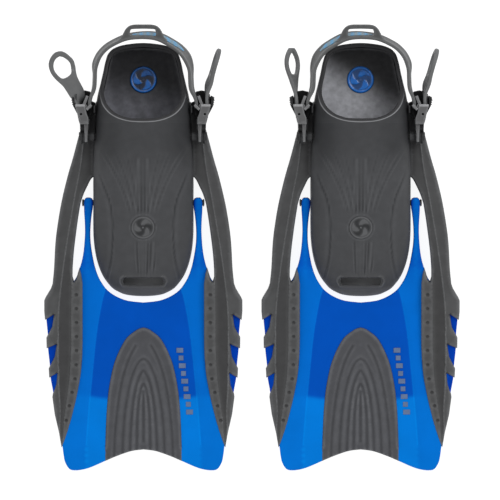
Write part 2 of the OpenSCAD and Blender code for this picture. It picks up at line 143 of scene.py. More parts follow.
def resample(line, count=None, step=None):
    """The same line with evenly spaced points."""
    line = np.asarray(line, float)
    run = run_along(line)
    count = count or max(2, int(round(run[-1] / step)) + 1)
    at = np.linspace(0, run[-1], count)
    return np.stack([np.interp(at, run, line[:, k]) for k in range(line.shape[1])], 1)


def densified(line, step):
    """The same line with its own corners and no stretch longer than the step."""
    out = []
    for a, b in zip(line[:-1], line[1:]):
        count = max(1, int(math.ceil(np.linalg.norm(b - a) / step)))
        out += [a + (b - a) * k / count for k in range(count)]
    return np.array(out + [line[-1]])


def distance(points, line):
    """How far each point is from the line, in plan."""
    line = np.asarray(line, float)[:, :2]
    best = np.full(len(points), 1e9)
    p = np.asarray(points, float)[:, :2]
    for a, b in zip(line[:-1], line[1:]):
        v = b - a
        t = np.clip(((p - a) @ v) / max(v @ v, 1e-12), 0, 1)
        best = np.minimum(best, np.hypot(*(p - a - t[:, None] * v).T))
    return best


def inside(points, polygon):
    """Which points lie inside the polygon, in plan."""
    x, y = np.asarray(points, float)[:, :2].T
    polygon = np.asarray(polygon, float)
    odd = np.zeros(len(x), bool)
    for (x0, y0), (x1, y1) in zip(polygon, np.roll(polygon, -1, axis=0)):
        if y0 != y1:
            odd ^= ((y0 > y) != (y1 > y)) & (x < (x1 - x0) * (y - y0) / (y1 - y0) + x0)
    return odd


def line_x(line, y):
    """The x at which a line with falling or rising y passes the height y."""
    line = np.asarray(line, float)
    order = np.argsort(line[:, 1])
    return np.interp(y, line[order, 1], line[order, 0])


def bump(d, width):
    """A smooth bump of height 1 and the given half width."""
    return np.exp(-((d / width) ** 2) * 2.2)


def flip(points):
    """The mirror image in x, in reverse order."""
    return [(-p[0], p[1]) for p in reversed(list(points))]


# ---------- meshes ----------


def closed_line(outline):
    return np.vstack([outline, outline[:1]])


def slab(outline, top, bottom, edge=1.0, step=3.0, holes=(), lines=(), dots=()):
    """A plate with rounded edges between the surfaces top(p) and bottom(p) over a plan outline.

    lines are (line, half width) and dots (centre, radius): places that need closer points.
    """
    loops = [densified(closed_line(np.array(o, float)), min(step, 2.5))[:-1] for o in (outline, *holes)]
    fixed = np.vstack(loops)
    edges, start = [], 0
    for loop in loops:
        n = len(loop)
        edges += [(start + i, start + (i + 1) % n) for i in range(n)]
        start += n
    extra = []
    for loop in loops:
        side = -right_of(heading(loop, closed=True))
        for share in (0.15, 0.45, 1.0, 1.9):
            extra += [loop + side * edge * share, loop - side * edge * share]
    low, high = fixed.min(0), fixed.max(0)
    rows = np.arange(low[1], high[1], step * 0.87)
    for k, y in enumerate(rows):
        xs = np.arange(low[0] + (k % 2) * step / 2, high[0], step)
        extra.append(np.stack([xs, np.full(len(xs), y)], 1))
    for line, width in lines:
        line = resample(line, step=min(step, 2.0))
        side = -right_of(heading(line))
        extra += [line + side * width * k for k in (-1.2, -0.6, 0, 0.6, 1.2)]
    ring = np.stack([np.cos(turns(12)), np.sin(turns(12))], 1)
    for centre, radius in dots:
        extra += [np.array([centre], float)]
        extra += [np.array(centre, float) + ring * radius * k for k in (0.5, 0.9, 1.3)]
    extra = np.vstack(extra)
    cell = np.unique(np.round(extra / 0.3).astype(int), axis=0, return_index=True)[1]
    extra = extra[np.sort(cell)]

    def depth(p):
        return np.min([distance(p, closed_line(loop)) for loop in loops], axis=0)

    keep = inside(extra, loops[0]) & (depth(extra) > edge * 0.12)
    for hole in loops[1:]:
        keep &= ~inside(extra, hole)
    points = np.vstack([fixed, extra[keep]])
    flat, _, faces, *_ = delaunay_2d_cdt([tuple(p) for p in points], edges, [], 0, 1e-4)
    flat = np.array([tuple(p) for p in flat])
    faces = np.array([f for f in faces if len(f) == 3])
    middle = flat[faces].mean(1)
    keep = inside(middle, loops[0])
    for hole in loops[1:]:
        keep &= ~inside(middle, hole)
    faces = faces[keep]
    a, b, c = flat[faces[:, 0]], flat[faces[:, 1]], flat[faces[:, 2]]
    turn = (b[:, 0] - a[:, 0]) * (c[:, 1] - a[:, 1]) - (b[:, 1] - a[:, 1]) * (c[:, 0] - a[:, 0])
    faces[turn < 0] = faces[turn < 0][:, ::-1]
    used = np.unique(faces)
    again = np.full(len(flat), -1)
    again[used] = np.arange(len(used))
    flat, faces = flat[used], again[faces]
    z_top, z_low = top(flat), bottom(flat)
    room = np.minimum(edge, (z_top - z_low) / 2 - 0.02)
    near = np.clip(1 - depth(flat) / edge, 0, 1)
    drop = room * (1 - np.sqrt(1 - near**2))
    n = len(flat)
    points = np.vstack([np.c_[flat, z_top - drop], np.c_[flat, z_low + drop]])
    sides = {}
    for f in faces:
        for i in range(3):
            pair = (f[i], f[(i + 1) % 3])
            if (pair[1], pair[0]) in sides:
                del sides[(pair[1], pair[0])]
            else:
                sides[pair] = True
    out = [tuple(f) for f in faces] + [tuple(int(v) + n for v in f[::-1]) for f in faces]
    out += [(a, a + n, b + n, b) for a, b in sides]
    return points, out


def flat_top(z):
    return lambda p: np.full(len(p), float(z))


def prism(outline, low, high, axis="z", edge=0.5, step=3.0, holes=()):
    """A straight bevelled extrusion: along z of an (x, y) outline, or along x of a (y, z) outline."""
    points, faces = slab(outline, flat_top(high), flat_top(low), edge, step, holes)
    if axis == "x":
        points = points[:, [2, 0, 1]]
    return points, faces


def grid(rows, wrap=False, ends=False):
    """Quads over rows of points. wrap closes each row, ends caps the first and last row."""
    rows = [np.asarray(r, float) for r in rows]
    n = len(rows[0])
    faces = []
    for j in range(len(rows) - 1):
        for i in range(n if wrap else n - 1):
            k = (i + 1) % n
            faces.append((j * n + i, j * n + k, (j + 1) * n + k, (j + 1) * n + i))
    if ends:
        faces.append(tuple(range(n))[::-1])
        faces.append(tuple((len(rows) - 1) * n + i for i in range(n)))
    return np.vstack(rows), faces


def round_bead(line, radius, sides):
    """A round bead along a closed line of points."""
    line = np.asarray(line, float)
    a = turns(sides)
    rows = []
    for p, ahead in zip(line, heading(line, closed=True)):
        side = np.cross(ahead, [0.0, 0.0, 1.0])
        side /= np.linalg.norm(side)
        over = np.cross(side, ahead)
        rows.append(p + radius * (np.cos(a)[:, None] * side + np.sin(a)[:, None] * over))
    return grid(rows + rows[:1], wrap=True)


def lathe(profile, sides):
    """A turned shape about the z axis from (radius, z) points, from the middle of the top down."""
    a = turns(sides)
    rows = [np.stack([r * np.cos(a), r * np.sin(a), np.full(sides, z)], 1) for r, z in profile]
    points, faces = grid(rows, wrap=True, ends=True)
    return points, [f[::-1] for f in faces]


def turned_x(profile, y, z, sides=40):
    """A turned shape about a line along x from (radius, x) points, with x falling."""
    points, faces = lathe(profile, sides)
    return np.stack([points[:, 2], points[:, 0] + y, points[:, 1] + z], 1), faces


def joined(*parts):
    """Several (points, faces) shapes as one."""
    points, faces, start = [], [], 0
    for p, f in parts:
        points.append(np.asarray(p, float))
        faces += [tuple(int(v) + start for v in face) for face in f]
        start += len(p)
    return np.vstack(points), faces


def mirrored(shape):
    points, faces = shape
    points = np.array(points, float)
    points[:, 0] *= -1
    return points, [tuple(f)[::-1] for f in faces]


# ---------- placing ----------


def place(points, fin, kind):
    """World metres of points drawn about a fin. Blade pieces slope down from the pivot, and
    rails turn from level to that slope across it."""
    p = np.array(points, float)
    if kind == "foot":
        y, z = p[:, 1], p[:, 2]
    else:
        share = np.ones(len(p)) if kind == "blade" else smooth(-10, 10, -p[:, 1])
        angle = TILT * share
        y = p[:, 1] * np.cos(angle) - p[:, 2] * np.sin(angle)
        z = p[:, 1] * np.sin(angle) + p[:, 2] * np.cos(angle) + PIVOT_Z
    return np.stack([FINS[fin] * CENTRE_X + p[:, 0], y + Y_SHIFT, z], 1) * MM


def piece(fin, name, shape, material, body, nodes=(), tone=None, kind="foot"):
    """Makes one piece of a fin, moves it with its body and hides the CAD nodes that it stands for.

    The name, the nodes and the body are given without the fin's own name in front, apart from the
    body FOOT, which both fins share.
    """
    points, faces = shape
    name = f"{fin}_{name}"
    mesh = bpy.data.meshes.new(name)
    mesh.from_pydata(place(points, fin, kind).tolist(), [], [tuple(int(v) for v in f) for f in faces])
    mesh.validate()
    mesh.shade_smooth()
    mesh.set_sharp_from_angle(angle=math.radians(SHARP_DEGREES))
    mesh.materials.append(material)
    if tone is not None:
        layer = mesh.attributes.new("tone", "FLOAT", "POINT")
        layer.data.foreach_set("value", np.full(len(points), tone, float))
    obj = bpy.data.objects.new(name, mesh)
    bpy.context.scene.collection.objects.link(obj)
    if body:
        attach(obj, body if body == FOOT else f"{fin}_{body}")
    if nodes:
        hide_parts(*[f"{fin}_{node}" for node in nodes])
    return obj


# ---------- materials ----------


def srgb(r, g, b):
    """The linear colour of an 8-bit screen colour."""
    out = []
    for v in (r, g, b):
        v /= 255
        out.append(v / 12.92 if v <= 0.04045 else ((v + 0.055) / 1.055) ** 2.4)
    return (*out, 1.0)


def moulded(name, colour, other=None, rough=0.6, spec=0.25, mottle=0.12, mottle_size=9.0,
            grain_bump=0.12, wear=0.25, coat=0.0):
    """Moulded rubber or plastic: cloudy colour, fine surface grain, worn edges and uneven gloss.

    Where other is given, the mesh's tone layer blends from colour (0) to other (1).
    """
    mat = bpy.data.materials.new(name)
    mat.use_nodes = True
    tree = mat.node_tree
    nodes, link = tree.nodes, tree.links.new
    shader = nodes["Principled BSDF"]
    shader.inputs["Specular IOR Level"].default_value = spec
    shader.inputs["Coat Weight"].default_value = coat
    shader.inputs["Coat Roughness"].default_value = 0.25
    where = nodes.new("ShaderNodeTexCoord").outputs["Object"]

    def noise(size, detail):
        n = nodes.new("ShaderNodeTexNoise")
        n.inputs["Scale"].default_value = 1 / (size * MM)
        n.inputs["Detail"].default_value = detail
        link(where, n.inputs["Vector"])
        return n.outputs["Fac"]

    def mix(factor, a, b, kind="MIX"):
        m = nodes.new("ShaderNodeMix")
        m.data_type = "RGBA"
        m.blend_type = kind
        for socket, value in (("Factor", factor), ("A", a), ("B", b)):
            target = [s for s in m.inputs if s.name == socket and s.enabled][0]
            if isinstance(value, bpy.types.NodeSocket):
                link(value, target)
            else:
                target.default_value = value
        return [s for s in m.outputs if s.enabled][0]

    def ranged(value, low, high, to_low, to_high):
        r = nodes.new("ShaderNodeMapRange")
        link(value, r.inputs["Value"])
        for socket, v in (("From Min", low), ("From Max", high), ("To Min", to_low), ("To Max", to_high)):
            r.inputs[socket].default_value = v
        return r.outputs["Result"]

    base = colour
    if other:
        tone = nodes.new("ShaderNodeAttribute")
        tone.attribute_name = "tone"
        base = mix(tone.outputs["Fac"], colour, other)
    cloud = ranged(noise(mottle_size, 3.0), 0.3, 0.7, 1 - mottle, 1 + mottle)
    grey = nodes.new("ShaderNodeCombineColor")
    for socket in ("Red", "Green", "Blue"):
        link(cloud, grey.inputs[socket])
    shade = mix(1.0, base, grey.outputs["Color"], "MULTIPLY")
    if wear:
        point = nodes.new("ShaderNodeNewGeometry").outputs["Pointiness"]
        worn = ranged(point, 0.505, 0.56, 0.0, wear)
        shade = mix(worn, shade, srgb(168, 170, 173))
    link(shade, shader.inputs["Base Color"])
    gloss = ranged(noise(mottle_size * 1.7, 2.0), 0.3, 0.7, rough - 0.07, rough + 0.07)
    link(gloss, shader.inputs["Roughness"])
    bumps = nodes.new("ShaderNodeBump")
    bumps.inputs["Strength"].default_value = grain_bump
    bumps.inputs["Distance"].default_value = 0.3 * MM
    link(noise(GRAIN_SIZE, 2.0), bumps.inputs["Height"])
    link(bumps.outputs["Normal"], shader.inputs["Normal"])
    return mat


POCKET = moulded("pocket_rubber", srgb(50, 51, 53), srgb(100, 101, 104), rough=0.62, mottle=0.07)
# The lining's light tone is painted light, used only on the toe ramp in the drain slot.
INNER = moulded("pocket_lining", srgb(62, 62, 65), srgb(160, 161, 164), rough=0.75, spec=0.15, mottle=0.1)
RIM = moulded("pocket_rim", srgb(52, 52, 54), srgb(150, 151, 154), rough=0.5, mottle=0.08, wear=0.1)
FOOTBED = moulded("footbed_rubber", srgb(56, 56, 59), srgb(128, 129, 137), rough=0.7, mottle=0.16,
                  mottle_size=5)
# A lighter copy of the footbed rubber for the right fin: painted light, not a different rubber.
PAINTED_LIT_FOOTBED = moulded("footbed_rubber_painted_lit", srgb(58, 58, 60), srgb(186, 187, 193), rough=0.7, mottle=0.16,
                       mottle_size=5)
RAIL = moulded("rail_rubber", srgb(62, 62, 63), srgb(98, 99, 100), rough=0.58, mottle=0.08)
BLADE = moulded("blade_plastic", srgb(0, 56, 178), srgb(0, 138, 240), rough=0.5, spec=0.04, mottle=0.05,
                mottle_size=30, grain_bump=0.04, wear=0)
INSERT = moulded("insert_rubber", srgb(46, 47, 50), srgb(104, 105, 110), rough=0.55, mottle=0.08)
MARK = moulded("mark_print", srgb(104, 122, 158), rough=0.5, mottle=0.1, wear=0)
BADGE_BLUE = moulded("badge_blue", srgb(26, 40, 66), srgb(24, 124, 226), rough=0.3, spec=0.4, mottle=0.2,
                     mottle_size=5, wear=0.1, coat=0.3)
BADGE_GREY = moulded("badge_grey", srgb(48, 49, 51), srgb(98, 99, 101), rough=0.5, mottle=0.1)
CLIP = moulded("clip_plastic", srgb(19, 19, 20), rough=0.5, spec=0.2, mottle=0.1, grain_bump=0.06, wear=0.12)
BUCKLE = moulded("buckle_plastic", srgb(84, 84, 85), srgb(150, 150, 151), rough=0.42, spec=0.35, mottle=0.06,
                 grain_bump=0.06, wear=0.3)
STRAP = moulded("strap_rubber", srgb(74, 75, 75), srgb(122, 123, 124), rough=0.55, mottle=0.08)
INLAY = moulded("inlay_blue", srgb(92, 158, 202), srgb(128, 148, 158), rough=0.45, mottle=0.1, wear=0.1)
PIN = moulded("pin_plastic", srgb(30, 31, 34), rough=0.4, spec=0.35, mottle=0.1, wear=0.15)

# ---------- foot pocket ----------

# y, half width, height of the top, height of the upright flank
OUTER = np.array([
    [-96.4, 0, 9, 5], [-95.8, 12, 12, 6], [-94.6, 19, 15, 7], [-92.2, 25, 19, 9], [-89.5, 30, 22, 10],
    [-83, 36.5, 27, 12], [-76, 41.4, 31.5, 14], [-65, 46.2, 37.5, 18], [-52, 49.5, 43, 22],
    [-36, 51.4, 48.5, 27], [-20, 51.8, 53, 31], [0, 51.7, 59, 34], [20, 51.8, 64.5, 34],
    [32, 51.6, 67.5, 34], [46, 51, 71, 34], [58, 50.4, 73.5, 34], [72, 49.5, 77, 34],
    [88, 48.8, 80.5, 34], [102, 48.2, 82, 34], [112, 46.5, 82, 34], [122, 44, 82, 34],
    [134, 41.2, 82, 34], [146, 38.6, 82, 34], [154, 35.5, 82, 34], [159, 30, 82, 34],
    [162, 22, 82, 34], [164, 9, 82, 34], [164.5, 0, 82, 34]])
INNER_ROWS = np.array([
    [-87, 0, 14, 9], [-86, 22, 17, 10], [-82, 29, 21, 11], [-76, 35.4, 26.5, 13], [-65, 40.6, 33, 17],
    [-52, 44.2, 38.7, 21], [-36, 46.2, 44.2, 26], [-20, 47.7, 48.7, 30], [0, 47.7, 54.7, 33],
    [20, 47.7, 60.2, 34], [46, 46.7, 66.7, 34], [72, 45.2, 72.7, 34], [86, 44.6, 76, 34],
    [102, 44, 77.6, 34], [112, 42.2, 77.6, 34], [122, 39.8, 77.6, 34], [134, 37, 77.6, 34],
    [146, 34.4, 77.6, 34], [152, 31.2, 77.6, 34], [156, 26, 77.6, 34], [158.5, 18, 77.6, 34],
    [159.8, 7, 77.6, 34], [160.4, 0, 77.6, 34]])
OPENING = np.array([
    [79.2, 95], [80.4, 84], [81.7, 79.8], [84, 77.5], [87, 74.6], [91, 70.5], [96, 66], [101, 61.5],
    [106, 57], [112, 50.5], [118, 45.5], [126, 41], [138, 36.5], [150, 34], [170, 33]])
POCKET_FLOOR = 6.0
POCKET_MIDDLE = [0, 20, 25]
RIM_POINTS = 110
DOME_POWER = 2 / 2.3
DRAIN = (0.0, -81.0, 22.5, 4.5)
BADGE_Y, BADGE_Z, BADGE_R, BADGE_SLOPE = -25.5, 50.8, 12.5, math.radians(16)


def cross_section(row, floor, edge, cut, count):
    """Half a section of the pocket at one y, from the middle of the floor to the top or the cut."""
    y, width, top, flank = row
    edge = min(edge, width * 0.6 + 0.01)
    corner = np.linspace(-90, 0, 6) * math.pi / 180
    points = [[0, floor]]
    points += [[width - edge + edge * math.cos(a), floor + edge + edge * math.sin(a)] for a in corner]
    if cut <= flank:
        points.append([width, cut])
    else:
        share = min(1.0, (cut - flank) / max(top - flank, 0.1))
        last = math.asin(share ** (1 / DOME_POWER))
        for t in np.linspace(0, 1, 26) ** 0.8 * last:
            points.append([width * math.cos(t) ** DOME_POWER if t < 1.5707 else 0.0,
                           flank + (top - flank) * math.sin(t) ** DOME_POWER])
    line = resample(points, count)
    return np.c_[line[:, 0], np.full(count, y), line[:, 1]]


def pocket_rows(rows, floor, edge, ys, count):
    """Sections at the given ys, and the points along the rim of the opening."""
    square = np.sqrt(np.clip(eased(rows[:, 0], rows[:, 1] ** 2, ys), 0, None))
    top, flank = (eased(rows[:, 0], rows[:, k], ys) for k in (2, 3))
    cut = np.interp(ys, OPENING[:, 0], OPENING[:, 1])
    cut[ys < OPENING[0, 0]] = 200
    sections = [cross_section(r, floor, edge, c, count) for r, c in zip(zip(ys, square, top, flank), cut)]
    rim = np.array([s[-1] for s, c, t in zip(sections, cut, top) if c < t])
    first = int(np.argmax(cut < top))
    start = [0, ys[first] - 0.15, top[first]]
    return sections, np.vstack([start, rim])


def whole(rows):
    """Quads over half sections and their mirror images."""
    return grid([np.vstack([np.asarray(r)[::-1] * [-1, 1, 1], np.asarray(r)[1:]]) for r in rows])


def pocket_ys(low, high):
    ys = np.r_[low, low + 0.15, low + 0.5, low + 1, low + 1.7, np.arange(low + 2.6, 79.2, 1.5),
               np.arange(79.2, 84, 0.3), np.arange(84, 96, 0.8), np.arange(96, high - 4, 1.6),
               high - 3.2, high - 2.3, high - 1.5, high - 0.8, high - 0.3, high]
    return np.unique(np.round(ys, 3))


SIDE_CREASE = spline([(46.5, 33), (41.7, 19.5), (34.8, 2), (31.4, -18), (31.2, -35), (32.8, -57), (36, -72),
                      (38.5, -80)], 8)
FAN_FLUTES = (-1.0, -0.68, -0.42, 0.42, 0.68, 1.0)
MIDDLE_FLUTES = (-5.4, -1.8, 1.8, 5.4)
TOE_FLUTES = (-6.5, -2.5, 0.9, 4.6, 8.3, 12.6)


def pocket_relief(p):
    """How far the outer surface stands proud, and the painted light and shade on it at each point."""
    x, y, z = p.T
    upper = smooth(12, 24, z)
    crease = distance(folded(p), SIDE_CREASE)
    outside = np.abs(x) > line_x(SIDE_CREASE, y)
    along = smooth(-84, -76, y) * (1 - smooth(20, 34, y))
    raised = np.where(outside, -0.8 * smooth(0, 2.2, crease), 0.0) * along - 0.6 * bump(crease, 1.0) * along
    # Painted shade along the side crease, with a faint painted highlight just outside it.
    light = -0.32 * bump(crease, 1.2) * along + np.where(outside, 0.12 * bump(crease - 3, 3.0), 0) * along
    flutes = []
    reach = smooth(-16, -2, y) * (1 - smooth(36, 58, y))
    for share in FAN_FLUTES:
        lean = 14 + 0.26 * (y + 7) + 0.0036 * (y + 7) ** 2
        flutes.append((x - share * lean, reach, 0.5 + 0.4 * abs(share), 3.2))
    reach = smooth(-13, -8, y) * (1 - smooth(43, 48, y))
    for start in MIDDLE_FLUTES:
        flutes.append((x - start * (1 + 0.006 * (y + 7)), reach, 0.9, 2.2))
    reach = smooth(-77, -72, y) * (1 - smooth(-42, -38, y))
    for start in TOE_FLUTES:
        flutes.append((x - start * (1 + 0.004 * (y + 38)), reach, 0.9, 2.0))
    # Each flute gets a painted highlight on its flanks and painted shade in its hollow.
    for gap, reach, strength, wide in flutes:
        flank = np.abs(gap) - wide * 0.6
        hollow = bump(gap, 0.9)
        raised += (0.4 * bump(flank, wide * 0.6) - 0.45 * hollow) * reach * strength
        light += (0.12 * bump(flank, wide * 0.5) - 0.17 * hollow) * reach * strength
    # Painted highlights on the ring round the badge, the rim of the drain slot and the toe lip.
    around = np.abs(np.hypot(x, (y - BADGE_Y)) - (BADGE_R + 0.8))
    raised += 0.35 * bump(around, 1.2)
    light += 0.25 * bump(around, 1.1)
    slot = slot_depth(x, y)
    raised += 0.9 * bump(slot - 1.4, 1.4) * upper
    light += 0.15 * bump(slot - 1.2, 1.0)
    toe_lip = smooth(-87, -89, y) * smooth(-96.6, -95, y)
    light += 0.3 * toe_lip * (1 - smooth(22, 30, np.abs(x)))
    # Painted shade towards the heel and the sides.
    light -= 0.3 * smooth(24, 60, y) * (0.4 + 0.6 * smooth(12, 38, np.abs(x)))
    return raised * upper, np.clip(light * upper + 0.38, 0, 1)


def slot_depth(x, y):
    """Distance outside the rim of the drain slot; negative inside it."""
    cx, cy, half, r = DRAIN
    return np.hypot(np.clip(np.abs(x - cx) - (half - r), 0, None), y - cy) - r


def without_slot(shape):
    """The shape with the drain slot cut out of its upper side, with a clean rim."""
    points, faces = shape
    points = np.array(points)
    cx, cy, half, r = DRAIN
    upper = points[:, 2] > 10
    gap = slot_depth(points[:, 0], points[:, 1])
    close = upper & (np.abs(gap) < 0.85)
    centre = np.c_[np.clip(points[:, 0] - cx, r - half, half - r) + cx, np.full(len(points), cy)]
    way = points[:, :2] - centre
    size = np.linalg.norm(way, axis=1)[:, None]
    points[close, :2] = (centre + way / np.maximum(size, 0.01) * r)[close]
    gap = slot_depth(points[:, 0], points[:, 1])
    keep = [f for f in faces if not all(upper[v] and gap[v] < 0.05 for v in f)]
    return points, keep


def surface_z(rows, x, y):
    """Height of the pocket's dome over points in plan."""
    width = np.sqrt(np.clip(eased(rows[:, 0], rows[:, 1] ** 2, y), 0.01, None))
    top, flank = (eased(rows[:, 0], rows[:, k], y) for k in (2, 3))
    cosine = np.clip(np.abs(x) / width, 0, 0.9999) ** (1 / DOME_POWER)
    return flank + (top - flank) * np.sqrt(1 - cosine**2) ** DOME_POWER


def proud(points, faces, raised):
    """The surface moved outward by the given heights, and whether its faces already faced outward."""
    up = np.zeros_like(points)
    quads = np.array(faces)
    a, b, c, d = points[quads].swapaxes(0, 1)
    normal = np.cross(c - a, d - b)
    for k in range(4):
        np.add.at(up, quads[:, k], normal)
    up /= np.maximum(np.linalg.norm(up, axis=1), 1e-9)[:, None]
    sign = np.sign((up * (points - POCKET_MIDDLE)).sum(1).mean())
    shape = (points + up * raised[:, None] * sign, faces if sign > 0 else [f[::-1] for f in faces])
    return shape, sign > 0


def build_rim(rim, inner_rim):
    """The bead over the pocket's upper edge on both sides, and its painted highlight: a light line along the
    bead's outer edge, strongest at the front lip.
    """
    strips, tone = [], []
    for side in (1, -1):
        outer_line = resample(rim, RIM_POINTS) * [side, 1, 1]
        inner_line = resample(inner_rim, RIM_POINTS) * [side, 1, 1]
        front = 1 - smooth(92, 116, outer_line[:, 1])
        rows = []
        for share in np.linspace(0, 1, 9):
            swell = math.sin(math.pi * share) * 0.7
            rows.append(outer_line * (1 - share) + inner_line * share + np.array([0, 0.3, 0.85]) * swell)
            # Painted highlight along the outer edge of the bead.
            tone.append((0.2 + 0.75 * front) * bump(share - 0.1, 0.17))
        points, faces = grid(rows)
        strips.append((points, faces if side > 0 else [f[::-1] for f in faces]))
    return joined(*strips), np.concatenate(tone)


def build_slot():
    """The wall of the drain slot between the shell and the lining, and the lip round its top."""
    cx, cy, straight, r = DRAIN
    angle = turns(64)
    x = cx + np.sign(np.cos(angle)) * (straight - r) + r * np.cos(angle)
    ring = np.stack([x, cy + r * np.sin(angle)], 1)
    ring = resample(closed_line(ring), 91)[:-1]
    high = surface_z(OUTER, *ring.T)
    low = surface_z(INNER_ROWS, *ring.T)
    inward = ring * 0.93 + np.array([cx, cy]) * 0.07
    sides = grid([np.c_[ring, high + 0.35], np.c_[inward, high - 0.5], np.c_[inward, low]], wrap=True)
    return joined(sides, round_bead(np.c_[ring, high + 0.1], 0.7, 8))


def build_pocket():
    """The outer shell with its relief and its painted light and shade, the lining, and both of their rims."""
    outer, rim = pocket_rows(OUTER, 0.0, 5.0, pocket_ys(-96.4, 164.5), 84)
    points, faces = whole(outer)
    raised, tone = pocket_relief(points)
    lip = np.r_[rim, rim[::-1] * [-1, 1, 1]]
    raised *= smooth(1.0, 5.0, distance(points, lip) + np.where(points[:, 1] > 84, 5, 0))
    shell, outward = proud(points, faces, raised)
    lining, inner_rim = pocket_rows(INNER_ROWS, POCKET_FLOOR, 3.0, pocket_ys(-87.0, 160.4), 60)
    lined, lined_faces = whole(lining)
    lined = without_slot((lined, [f[::-1] for f in lined_faces] if outward else lined_faces))
    return without_slot(shell), tone, lined, rim, inner_rim


shell_shape, shell_shading_tone, lining_shape, outer_rim, inner_rim = build_pocket()
rim_shape, rim_highlight_tone = build_rim(outer_rim, inner_rim)
slot_shape = build_slot()
# The toe ramp that shows at the bottom of the drain slot, in the lining's light tone: painted light.
ramp_shape = slab([(-24, -87), (24, -87), (24, -75), (-24, -75)], lambda p: 11.6 + 0.036 * p[:, 0],
                  flat_top(9.5), edge=0.5, step=4.0)


# ---------- footbed and badges ----------

FOOTBED_EDGE = spline([(0, -72), (22, -69), (33, -60), (39, -44), (42.4, -20), (43.6, 0), (44, 30),
                       (43.4, 70),
                       (42.8, 100), (41.2, 114), (37.4, 132), (34.2, 146.6), (29.6, 154.8), (17.6, 158.8),
                       (0, 160.2)], 4)
FOOTBED_OUTLINE = np.vstack([FOOTBED_EDGE, flip(FOOTBED_EDGE)[1:-1]])
HEEL_BADGE_Y, HEEL_BADGE_R = 127.0, 14.0


def footbed_top(p):
    """A dished bed with a raised border, cross ribs before the heel and a ring round its badge."""
    rim = distance(p, closed_line(FOOTBED_OUTLINE))
    z = 8.3 + 5.0 * bump(rim, 8) - 0.25 * bump(rim - 11, 2.0)
    arch = smooth(84, 92, p[:, 1]) * (1 - smooth(106, 112, p[:, 1]))
    z += 0.35 * np.sin(p[:, 1] * 1.3 + 0.02 * p[:, 0] ** 2) * arch * (1 - smooth(14, 20, np.abs(p[:, 0])))
    z += 0.3 * bump(np.abs(np.hypot(p[:, 0], p[:, 1] - HEEL_BADGE_Y) - HEEL_BADGE_R - 1.6), 1.6)
    return z


footbed_shape = slab(FOOTBED_OUTLINE, footbed_top, flat_top(POCKET_FLOOR + 0.05), edge=1.2, step=3.2,
                     lines=[(FOOTBED_EDGE * [0.84, 0.95] + [0, 4], 2.0)],
                     dots=[((0, HEEL_BADGE_Y), HEEL_BADGE_R)])
bed_x, bed_y = footbed_shape[0][:, :2].T
# Painted light: the right fin's footbed is lighter towards the front and one side, darker at the rear.
painted_lit_footbed_tone = 1 - smooth(96, 142, bed_y + 0.6 * bed_x)
# Painted shade: the left fin's footbed darkens towards the heel, over a slow wave of tone.
footbed_shading_tone = 0.9 - 0.12 * np.sin(bed_x * 0.35 + bed_y * 0.1)
footbed_shading_tone = footbed_shading_tone * (1 - smooth(84, 132, bed_y + 0.2 * bed_x))


def swirl_badge(radius, height):
    """A round badge with a raised rim and a plain pattern of turned vanes."""
    rings, sides = 22, 72
    rows, tone = [], []
    a = turns(sides)
    for k in range(rings + 1):
        r = radius * k / rings
        out = r / radius
        rim = bump(out - 0.88, 0.12)
        vane = 0.5 + 0.5 * np.cos(3 * a + 5.0 * out)
        vane = smooth(0.35, 0.65, vane) * smooth(0.18, 0.3, out) * (1 - smooth(0.72, 0.8, out))
        z = height * (0.55 + 0.45 * np.maximum(rim, vane * 0.8)) * (1 - 0.9 * smooth(0.97, 1.0, out))
        rows.append(np.stack([r * np.cos(a), r * np.sin(a), np.broadcast_to(z, sides)], 1))
        tone.append(np.maximum(rim, vane * 0.85))
    rows.append(np.stack([radius * np.cos(a), radius * np.sin(a), np.full(sides, -1.0)], 1))
    tone.append(np.zeros(sides))
    points, faces = grid(rows, wrap=True)
    return (points, faces), np.concatenate([np.broadcast_to(t, sides) for t in tone])


heel_badge, heel_badge_tone = swirl_badge(HEEL_BADGE_R, 1.6)
instep_badge, instep_badge_tone = swirl_badge(BADGE_R, 1.5)
# Painted shade: the heel badge darkens towards its heel side.
heel_badge_tone = heel_badge_tone * (1 - 0.5 * smooth(-6, 12, heel_badge[0][:, 1]))
heel_badge[0][:, 1] += HEEL_BADGE_Y
heel_badge[0][:, 2] += POCKET_FLOOR + 2.6
turn = np.array([[1, 0, 0], [0, math.cos(BADGE_SLOPE), math.sin(BADGE_SLOPE)],
                 [0, -math.sin(BADGE_SLOPE), math.cos(BADGE_SLOPE)]])
instep_badge = (instep_badge[0] @ turn + [0, BADGE_Y, BADGE_Z + 0.3], instep_badge[1])

# ---------- rails ----------

RAIL_UPPER = [(54, 93), (60, 90), (62.5, 83), (67.5, 65), (72.5, 46), (78, 27), (84, 2)]
RAIL_LOWER = [(88.2, -22), (90.6, -42), (92, -68), (93.6, -84)]
GILLS = [
    [(95.4, -89), (100.8, -98), (102.2, -101), (102.2, -112), (101.4, -121)],
    [(92, -115), (94, -128), (98.9, -137.5), (100, -139.5), (99.8, -150.5)],
    [(89.4, -146), (91.4, -159), (96.6, -169.5), (97.7, -171.5), (97.2, -181)],
    [(88.6, -176), (90, -188), (93.6, -198), (94, -201), (91.6, -219), (87, -239), (84.6, -253.6)]]
STRIP_EDGE = [(62.6, -83), (62.6, -120), (62.8, -151), (64.4, -175), (67.8, -195), (71, -210), (76.2, -230),
              (81.4, -246), (84.6, -253.6)]
STRIP_TONGUE = [(71.6, -81.4), (69.4, -79.4), (67.2, -72), (65.8, -67.4), (64, -73), (62.6, -83)]
RAIL_INNER = [(50.8, 27), (52.4, 26), (54.6, 23.4), (57.6, 17.4), (61.5, 9), (64.4, 0), (65.2, -4), (68, -22),
              (71.2, -47), (72.8, -66), (73, -77)]
POCKET_SIDE = [(50.3, 30), (50.3, 46), (50, 58)]
